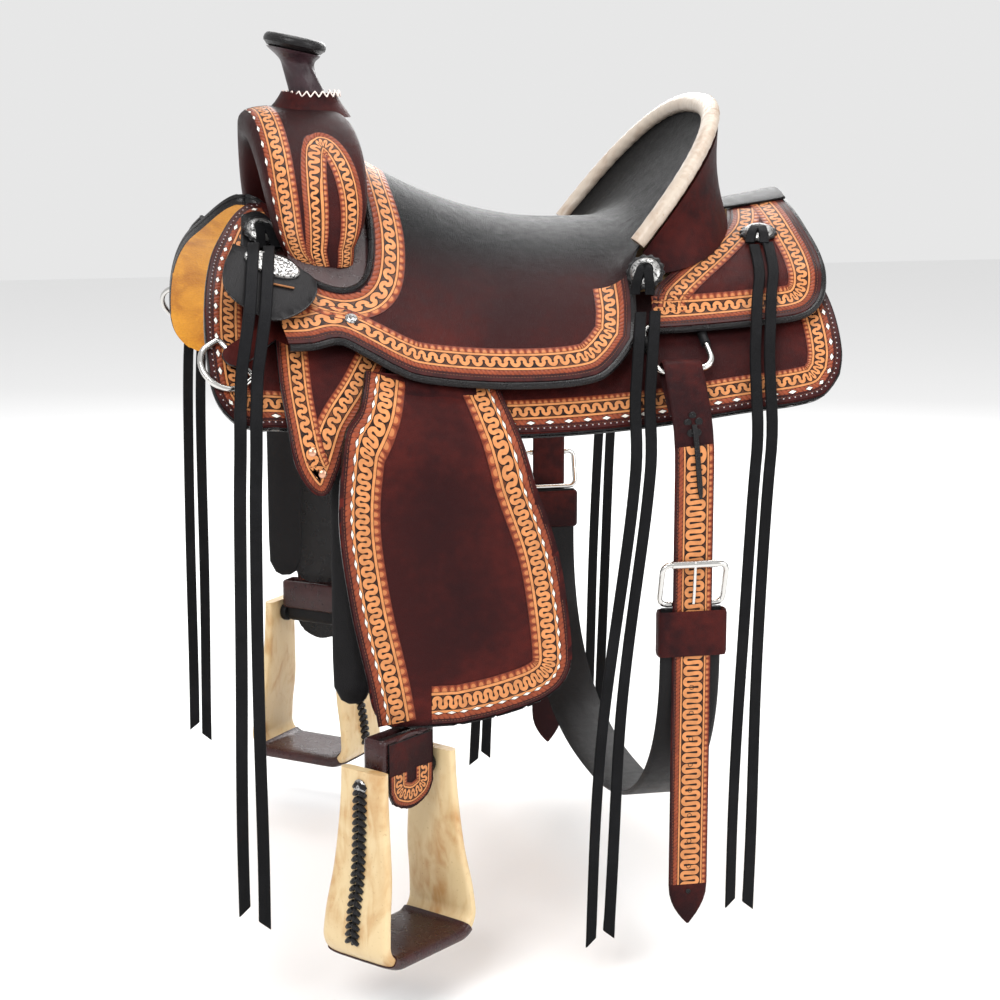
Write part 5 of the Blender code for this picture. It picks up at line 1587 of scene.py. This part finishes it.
# ------------------------------------------------------------------ stirrups
@dataclass
class Stirrups:
    """Rawhide stirrups with laced arms, leather treads, loops and hobbles."""

    x: float = -0.175
    y: float = 0.330
    turn: float = math.radians(-40.0)
    top: float = -0.4785
    height: float = 0.203
    thick: float = 0.013
    top_half: float = 0.053
    low_half: float = 0.068
    top_depth: float = 0.058
    low_depth: float = 0.088
    corner: float = 0.022
    bolt_drop: float = 0.016
    loop_half: float = 0.037
    loop_gap: float = 0.0080        # radius of the loop's lower turn
    hobble_half: float = 0.0395
    hobble_deep: float = 0.0120
    hobble_high: float = 0.036
    hobble_thick: float = 0.0040
    hobble_rise: float = 0.0262     # its middle above the bolt
    tail_half: float = 0.034

    def axes(self, sign: int) -> tuple[Vector, Vector, Vector]:
        """Centre and the directions across and through the stirrup."""
        across = Vector((math.cos(self.turn), sign * math.sin(self.turn), 0.0))
        depth = Vector((-sign * math.sin(self.turn), math.cos(self.turn), 0.0))
        return Vector((self.x, sign * self.y, 0.0)), across, depth

    def arm(self) -> list[Flat]:
        """Half of the frame's centre line as (half width, z), from the top down to the middle."""
        base = self.top - self.height + self.thick / 2
        low, mid = self.low_half, (self.top_half + self.low_half) / 2
        half = curve([(self.top_half, self.top), (self.top_half + 0.001, self.top - 0.045),
                      (mid - 0.003, self.top - 0.105), (low - 0.003, base + 0.050),
                      (low, base + self.corner)], 6)
        for n in range(1, 10):
            a = math.radians(10 * n)
            half.append((low - self.corner * (1.0 - math.cos(a)), base + self.corner * (1.0 - math.sin(a))))
        return half + [((low - self.corner) * (1 - n / 4), base) for n in range(1, 5)]

    def frame(self, sign: int, part: Sequence[Flat], grow: float) -> bmesh.types.BMesh:
        """A rounded band swept along both halves of the frame, `grow` thicker than it."""
        centre, across, depth = self.axes(sign)
        line = [(-w, z) for w, z in part] + [(w, z) for w, z in reversed(part[:-1])]
        base = self.top - self.height
        bm = bmesh.new()
        rows = []
        for k, (w, z) in enumerate(line):
            a, b = line[max(0, k - 1)], line[min(len(line) - 1, k + 1)]
            length = math.dist(a, b)
            normal = across * (-(b[1] - a[1]) / length) + Vector((0, 0, (b[0] - a[0]) / length))
            wide = self.low_depth + (self.top_depth - self.low_depth) * ease(base, self.top, z) + 2 * grow
            thick = self.thick + 2 * grow
            row = []
            for angle in turns(24):
                flat, edge = math.cos(angle), math.sin(angle)
                row.append(bm.verts.new(centre + across * w + Vector((0, 0, z))
                                        + depth * wide / 2 * math.copysign(abs(flat) ** 0.35, flat)
                                        + normal * thick / 2 * math.copysign(abs(edge) ** 0.55, edge)))
            rows.append(row)
        shell(bm, rows)
        return bm

    def build(self, side: Side) -> None:
        """Builds one side's stirrup, loop and hobble."""
        word, sign = side.name, side.value
        body, hanger = f"stirrup_{word}", f"fender_{word}"
        centre, across, depth = self.axes(sign)
        bolt = centre + Vector((0, 0, self.top - self.bolt_drop))
        arm = self.arm()
        piece(f"stirrup_frame_{word}", self.frame(sign, arm, -0.0002), [STIRRUP_HIDE], body,
              [f"stirrup_{word}"])
        wrap = [(w, z) for w, z in arm if w < self.low_half - 0.006 and z < self.top - self.height + 0.03]
        piece(f"tread_wrap_{word}", self.frame(sign, wrap, 0.0016), [GLOSSY_OXBLOOD], body, [f"tread_{word}"])
        self.build_bolt_ends(word, bolt, across, body)
        self.build_lacing(word, sign, arm, body)
        top_z = self.loop_top()
        lower = [math.radians(15 * n) for n in range(-6, 7)]
        upper = [math.radians(22.5 * n) for n in range(9)]
        around = [(self.loop_gap * math.sin(a), bolt.z - self.loop_gap * math.cos(a)) for a in lower]
        around += [(0.0042 * math.cos(a), top_z - 0.004 + 0.004 * math.sin(a)) for a in upper]
        path = [centre + depth * v + Vector((0, 0, z)) for v, z in around]
        bm = bmesh.new()
        strap_mesh(bm, path, 2 * self.loop_half, 0.0048, across, closed=True)
        piece(f"stirrup_loop_leather_{word}", bm, [BLACK_LEATHER], hanger, [f"stirrup_loop_{word}"])
        self.build_hobble(word, sign, bolt, hanger)
        self.build_tail(word, sign, hanger)

    def build_bolt_ends(self, word: str, bolt: Vector, across: Vector, body: str) -> None:
        """The bolt's silver heads outside the arms and the leather washers inside them."""
        head = ((0.0003, 0.0), (0.0075, 0.0), (0.0082, 0.0012), (0.0070, 0.0030), (0.0030, 0.0042),
                (0.0003, 0.0044))
        washers = ((0.0040, 0.0), (0.0110, 0.0), (0.0118, 0.0015), (0.0118, 0.0060), (0.0110, 0.0075),
                   (0.0040, 0.0075))
        bm = bmesh.new()
        for way in (-across, across):
            lathe_mesh(bm, head, facing(bolt + way * 0.0593, way), 24)
            lathe_mesh(bm, washers, facing(bolt + way * 0.0380, way), 24, material=1)
        piece(f"stirrup_bolt_ends_{word}", bm, [SILVER, BLACK_LEATHER], body, [f"stirrup_bolt_{word}"])

    def loop_top(self) -> float:
        """Height of the loop's top, just under the fender."""
        return BACK.point(self.x, FENDER_BOTTOM, 0.0, edge=FENDER_ROLL).z - 0.0065

    def build_lacing(self, word: str, sign: int, arm: Sequence[Flat], body: str) -> None:
        """Whip lacing down the outer faces of both arms."""
        centre, across, depth = self.axes(sign)
        bm = bmesh.new()
        low, high = self.top - self.height + 0.022, self.top - 0.010
        run = resample([(w, z) for w, z in arm if low < z < high], 0.0078)
        leaf_line = ((0.0004, 0.0034, 0.0), (0.0042, 0.0006, 0.0004), (0.0080, -0.0022, -0.0012))
        for flip in (-1, 1):
            spine = [centre + across * flip * (w + self.thick / 2 + 0.0003) + Vector((0, 0, z))
                     for w, z in run]
            tube_mesh(bm, spine, 0.0016, 6)
            for spot, below in zip(spine, spine[1:]):
                middle = (spot + below) / 2 + across * flip * 0.0012
                for way in (-1, 1):
                    leaf = [middle + depth * way * d + Vector((0, 0, z)) + across * flip * o
                            for d, z, o in leaf_line]
                    tube_mesh(bm, leaf, [0.0026, 0.0030, 0.0022], 8)
        piece(f"stirrup_lacing_{word}", bm, [EDGE_LEATHER], body)

    def build_hobble(self, word: str, sign: int, bolt: Vector, hanger: str) -> None:
        """The hobble strap round the loop, with a plain oval badge outside."""
        centre, across, depth = self.axes(sign)
        middle = centre + Vector((0, 0, bolt.z + self.hobble_rise))
        path = [middle + across * u + depth * v
                for u, v in rounded_box(self.hobble_half, self.hobble_deep, 0.0045, 6)]
        bm = bmesh.new()
        strap_mesh(bm, path, self.hobble_high, self.hobble_thick, Vector((0, 0, 1)), closed=True)
        piece(f"hobble_strap_{word}", bm, [GLOSSY_OXBLOOD], hanger, [f"hobble_{word}"])
        face = middle + depth * sign * (self.hobble_deep + self.hobble_thick / 2)
        rings = ((0.03, 0.0006), (0.80, 0.0006), (0.84, 0.0014), (0.96, 0.0014), (1.0, 0.0004), (1.0, -0.001))
        badge = lambda share, a, lift: (face + depth * sign * lift + across * 0.030 * share * math.cos(a)
                                        + Vector((0, 0, 0.0195 * share * math.sin(a))))
        piece(f"hobble_badge_{word}", oval_mesh(rings, badge), [GLOSSY_OXBLOOD], hanger)

    def build_tail(self, word: str, sign: int, hanger: str) -> None:
        """The fender's tooled tail, in front of the loop and through the hobble."""
        centre, across, depth = self.axes(sign)
        half, upper, lower = self.tail_half, -self.loop_top() - 0.001, -self.top + self.bolt_drop + 0.034
        surface = lambda a, b, h: centre + across * a + Vector((0, 0, -b)) + depth * sign * (0.0164 + h)
        shoulder = lower - 0.022
        flat = outline(((-half, upper), (-half, shoulder)),
                       ((-half, shoulder), (-half * 0.72, lower - 0.008), (0.0, lower),
                        (half * 0.72, lower - 0.008), (half, shoulder)),
                       ((half, shoulder), (half, upper)))
        bm = panel_mesh(flat, lambda x, s, h: surface(x, s, (h - 1.0) * 0.003), 1, grid=0.008, bevel=0.0008)
        piece(f"fender_tail_{word}", bm, [PLAIN_OXBLOOD, EDGE_LEATHER, EDGE_LEATHER], hanger)
        path = [(-half, lower - 0.040), *flat[1:-2], (half, lower - 0.040)]
        edge = [(x, s) for x, s in path if s > lower - 0.043]
        strip(f"fender_tail_border_{word}", edge, TAIL_TOOLING, surface, hanger, 0.0012)


# ------------------------------------------------------------------ flank rigging
@dataclass
class Flank:
    """Flank billets, buckles, keepers and the cinch under the belly."""

    body: str = "flank"
    x: float = 0.134
    stand: float = 0.027
    loop: float = 0.0092
    edge: float = 0.335
    width: float = 0.042
    thick: float = 0.003
    buckle_z: float = -0.314
    tip_z: float = -0.684
    dee_s: float = 0.287            # where the billet turns round the dee
    tooling_start: float = 0.358
    flower_s: float = 0.345
    gap: float = 0.0005             # between layers that lie on each other
    buckle_half: float = 0.034
    buckle_high: float = 0.022
    wire: float = 0.0028
    cinch_wide: float = 0.065
    cinch_thick: float = 0.006
    cinch_bottom: float = -0.612
    keeper_high: float = 0.048

    @property
    def buckle_foot(self) -> float:
        """Height of the underside of the buckle."""
        return self.buckle_z - self.buckle_high - self.wire

    def cinch_y(self, strap_y: float) -> float:
        """Middle of the cinch's thickness, inside the billet."""
        return strap_y - self.thick / 2 - self.gap - self.cinch_thick / 2

    def build(self) -> None:
        """Builds both billets and the cinch."""
        hanging = BACK.point(self.x, 0.60, self.stand + self.loop, edge=self.edge)
        strap_y = hanging.y
        tip_s = 0.60 + hanging.z - self.tip_z
        for side in Side:
            self.build_billet(side.name, side.value, tip_s)
            self.build_buckle(side.name, side.value, strap_y)
        self.build_cinch(strap_y)

    def surface(self, sign: int) -> Surface:
        """The billet's outer face: x, s and height."""
        return lambda x, s, h: BACK.point(x, sign * abs(s), self.stand + self.loop + self.thick / 2 + h,
                                          edge=self.edge)

    def build_billet(self, word: str, sign: int, tip_s: float) -> None:
        """One billet: folded round the dee, plain above, tooled below, with holes and a flower."""
        at = lambda s, d: BACK.point(self.x, sign * s, d, edge=self.edge)
        run = [at(0.335, self.stand - 0.0015), at(0.318, self.stand - 0.006),
               at(self.dee_s + 0.014, self.stand - self.loop)]
        run += [at(self.dee_s - self.loop * math.sin(a), self.stand - self.loop * math.cos(a))
                for a in (math.radians(15 * n) for n in range(13))]
        stations = [0.300 + 0.012 * n for n in range(int((tip_s - 0.330) / 0.012))]
        run += [at(s, self.stand + self.loop) for s in stations]
        tail = stations[-1]
        shares = (0.25, 0.45, 0.62, 0.76, 0.88, 0.96, 1.0)
        widths = [self.width] * len(run) + [self.width * (1.0 - 0.94 * share ** 2.2) for share in shares]
        run += [at(tail + (tip_s - tail) * share, self.stand + self.loop) for share in shares]
        bm = bmesh.new()
        strap_mesh(bm, run, widths, self.thick, Vector((1, 0, 0)))
        piece(f"billet_strap_{word}", bm, [BILLET_LEATHER], self.body,
              [f"billet_{word}"])
        surface = self.surface(sign)
        half = self.width / 2 - 0.0012
        edge = [(self.x - half, self.tooling_start), (self.x - half, tail)]
        strip(f"billet_tooling_{word}", edge, BILLET_TOOLING, surface, self.body, width=2 * half)
        bm = bmesh.new()
        eyelet = ((0.0002, 0.0004), (0.0019, 0.0004), (0.0022, 0.0009), (0.0026, 0.0006), (0.0027, -0.0004))
        for n in range(9):
            lathe_mesh(bm, eyelet, facing(surface(self.x, 0.60 + 0.028 * n, 0.0), Vector((0, sign, 0))), 16)
        petal = ((0.0002, 0.0010), (0.0036, 0.0009), (0.0042, 0.0002), (0.0042, -0.0006))
        for a in turns(5):
            spot = surface(self.x + 0.0062 * math.sin(a), self.flower_s - 0.0062 * math.cos(a), -0.0002)
            lathe_mesh(bm, petal, facing(spot, Vector((0, sign, 0))), 18)
        thong = [surface(self.x + 0.0006 * n, self.flower_s + 0.006 * n, 0.0022) for n in range(11)]
        strap_mesh(bm, thong, [0.0060] * 9 + [0.0050, 0.0030], 0.0016, Vector((1, 0, 0)))
        piece(f"billet_flower_{word}", bm, [EDGE_LEATHER], self.body)

    def build_buckle(self, word: str, sign: int, strap_y: float) -> None:
        """Roller buckle and the wide keeper under it."""
        lean = self.thick / 2 + self.gap + self.wire + 0.001
        loop = []
        for a, b in rounded_box(self.buckle_half, self.buckle_high, 0.007, 5):
            y = strap_y + lean * max(-1.0, min(1.0, b / (self.buckle_high - 0.004)))
            loop.append((self.x + a, sign * y, self.buckle_z + b))
        bm = bmesh.new()
        tube_mesh(bm, [Vector(p) for p in resample([*loop, loop[0]], 0.004)[:-1]], 0.0030, 10, closed=True)
        bar = [Vector((self.x + w, sign * (strap_y + lean), self.buckle_z + self.buckle_high))
               for w in (-0.024, 0.0, 0.024)]
        tube_mesh(bm, bar, 0.0042, 14)
        tongue = [Vector((self.x, sign * (strap_y + o), self.buckle_z + dz)) for o, dz in
                  ((0.0030, -0.020), (0.0052, -0.010), (0.0066, 0.004), (0.0078, 0.020), (0.0088, 0.026))]
        tube_mesh(bm, tongue, [0.0019, 0.0019, 0.0018, 0.0017, 0.0013], 10)
        piece(f"roller_buckle_{word}", bm, [NICKEL], self.body, [f"flank_buckle_{word}"])
        room = 0.0025
        out = strap_y + self.thick / 2 + self.wire
        deep = self.cinch_y(strap_y) - self.cinch_thick / 2 - room
        middle, reach = (out + deep) / 2, (out - deep) / 2
        z = self.buckle_foot - 0.003 - self.keeper_high / 2
        path = [Vector((self.x + a, sign * (middle + b), z))
                for a, b in rounded_box(self.cinch_wide / 2 + room, reach, 0.004, 5)]
        bm = bmesh.new()
        strap_mesh(bm, path, self.keeper_high, 0.0038, Vector((0, 0, 1)), closed=True)
        piece(f"wide_keeper_{word}", bm, [PLAIN_OXBLOOD], self.body, [f"flank_keeper_{word}"])

    def build_cinch(self, strap_y: float) -> None:
        """The wide cinch, hanging under the belly."""
        reach, bottom = self.cinch_y(strap_y), self.cinch_bottom
        start, bend = self.buckle_foot - 0.001, self.buckle_foot - self.keeper_high
        half = [(reach, start), (reach, (start + bend) / 2)]
        for n in range(40):
            a = math.radians(90 * n / 40)
            half.append((reach * math.cos(a) ** 0.85, bend + (bottom - bend) * math.sin(a) ** 0.85))
        points = [(-y, z) for y, z in half] + [(0.0, bottom)] + [(y, z) for y, z in reversed(half)]
        bm = bmesh.new()
        strap_mesh(bm, [Vector((self.x, y, z)) for y, z in points], self.cinch_wide, 0.0058, Vector((1, 0, 0)))
        piece("cinch_strap", bm, [BLACK_LEATHER], self.body, ["flank_cinch"])


# ------------------------------------------------------------------ studio
@dataclass
class Studio:
    """Camera, floor and lights."""

    azimuth: float = math.radians(-12.0)
    elevation: float = math.radians(11.5)
    distance: float = 2.65
    lens: float = 82.8
    floor_z: float = -0.745

    def camera(self) -> None:
        """The camera, to the near side and a little to the front."""
        target = Vector((0.0, 0.0, -0.285))
        back = Vector((math.sin(self.azimuth) * math.cos(self.elevation),
                       -math.cos(self.azimuth) * math.cos(self.elevation), math.sin(self.elevation)))
        data = bpy.data.cameras.new("camera")
        data.lens = self.lens
        data.sensor_width = 36.0
        obj = bpy.data.objects.new("camera", data)
        obj.location = target + back * self.distance
        obj.rotation_euler = (-back).to_track_quat("-Z", "Y").to_euler()
        bpy.context.scene.collection.objects.link(obj)
        bpy.context.scene.camera = obj

    def light(self, name: str, place: Vector, power: float, size: float) -> None:
        """A soft area light that faces the saddle."""
        data = bpy.data.lights.new(name, "AREA")
        data.energy = power
        data.size = size
        obj = bpy.data.objects.new(name, data)
        obj.location = place
        obj.rotation_euler = (Vector((0, 0, -0.2)) - place).to_track_quat("-Z", "Y").to_euler()
        bpy.context.scene.collection.objects.link(obj)

    def build(self) -> None:
        """Floor, lights and world."""
        bpy.ops.mesh.primitive_plane_add(size=14.0, location=(0.0, 0.0, self.floor_z))
        floor = bpy.context.object
        floor.name = "studio_floor"
        s = Shader("studio_floor_paint", 0.9)
        speck = s.noise(2.0, 2.0)
        floor.data.materials.append(s.finish(s.colour((0.88, 0.88, 0.88), (speck * 0.05, (0.84, 0.84, 0.84)))))
        self.light("key", Vector((-1.6, -2.6, 1.9)), 88.0, 1.6)
        self.light("fill", Vector((2.4, -2.2, 0.9)), 55.0, 2.0)
        self.light("top", Vector((0.2, 0.3, 2.6)), 60.0, 1.8)
        self.light("rim", Vector((0.8, 2.6, 1.2)), 45.0, 1.6)
        world = bpy.data.worlds.new("studio")
        world.use_nodes = True
        world.node_tree.nodes["Background"].inputs["Color"].default_value = (1.0, 1.0, 1.0, 1.0)
        world.node_tree.nodes["Background"].inputs["Strength"].default_value = 0.80
        bpy.context.scene.world = world
        bpy.context.scene.view_settings.view_transform = "Standard"


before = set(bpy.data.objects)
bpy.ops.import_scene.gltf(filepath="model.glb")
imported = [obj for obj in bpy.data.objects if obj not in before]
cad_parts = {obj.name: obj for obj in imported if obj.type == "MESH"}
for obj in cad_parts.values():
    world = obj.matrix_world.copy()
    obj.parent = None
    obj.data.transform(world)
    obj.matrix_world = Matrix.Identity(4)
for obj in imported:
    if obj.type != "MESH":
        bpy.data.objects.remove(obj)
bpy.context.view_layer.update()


def main() -> None:
    """Builds every sub-assembly in order."""
    logging.basicConfig(level=logging.INFO, format="%(name)s %(message)s")
    studio = Studio()
    studio.camera()
    strings = Strings()
    for side in Side:
        strings.build(side)
    skirts, rear, rigging = Skirts(), RearJockeys(), Rigging()
    fenders, stirrups = Fenders(), Stirrups()
    for side in Side:
        skirts.build(side)
        rear.build(side)
        rigging.build(side)
        fenders.build(side)
        stirrups.build(side)
        dress(f"tree_bar_{side.name}", TREE_WOOD)
    rear.build_plate()
    Seat().build()
    Fork().build()
    Flank().build()
    for node in ("tree_fork", "ground_seat"):
        dress(node, TREE_WOOD)
    studio.build()


if __name__ == "__main__":
    main()
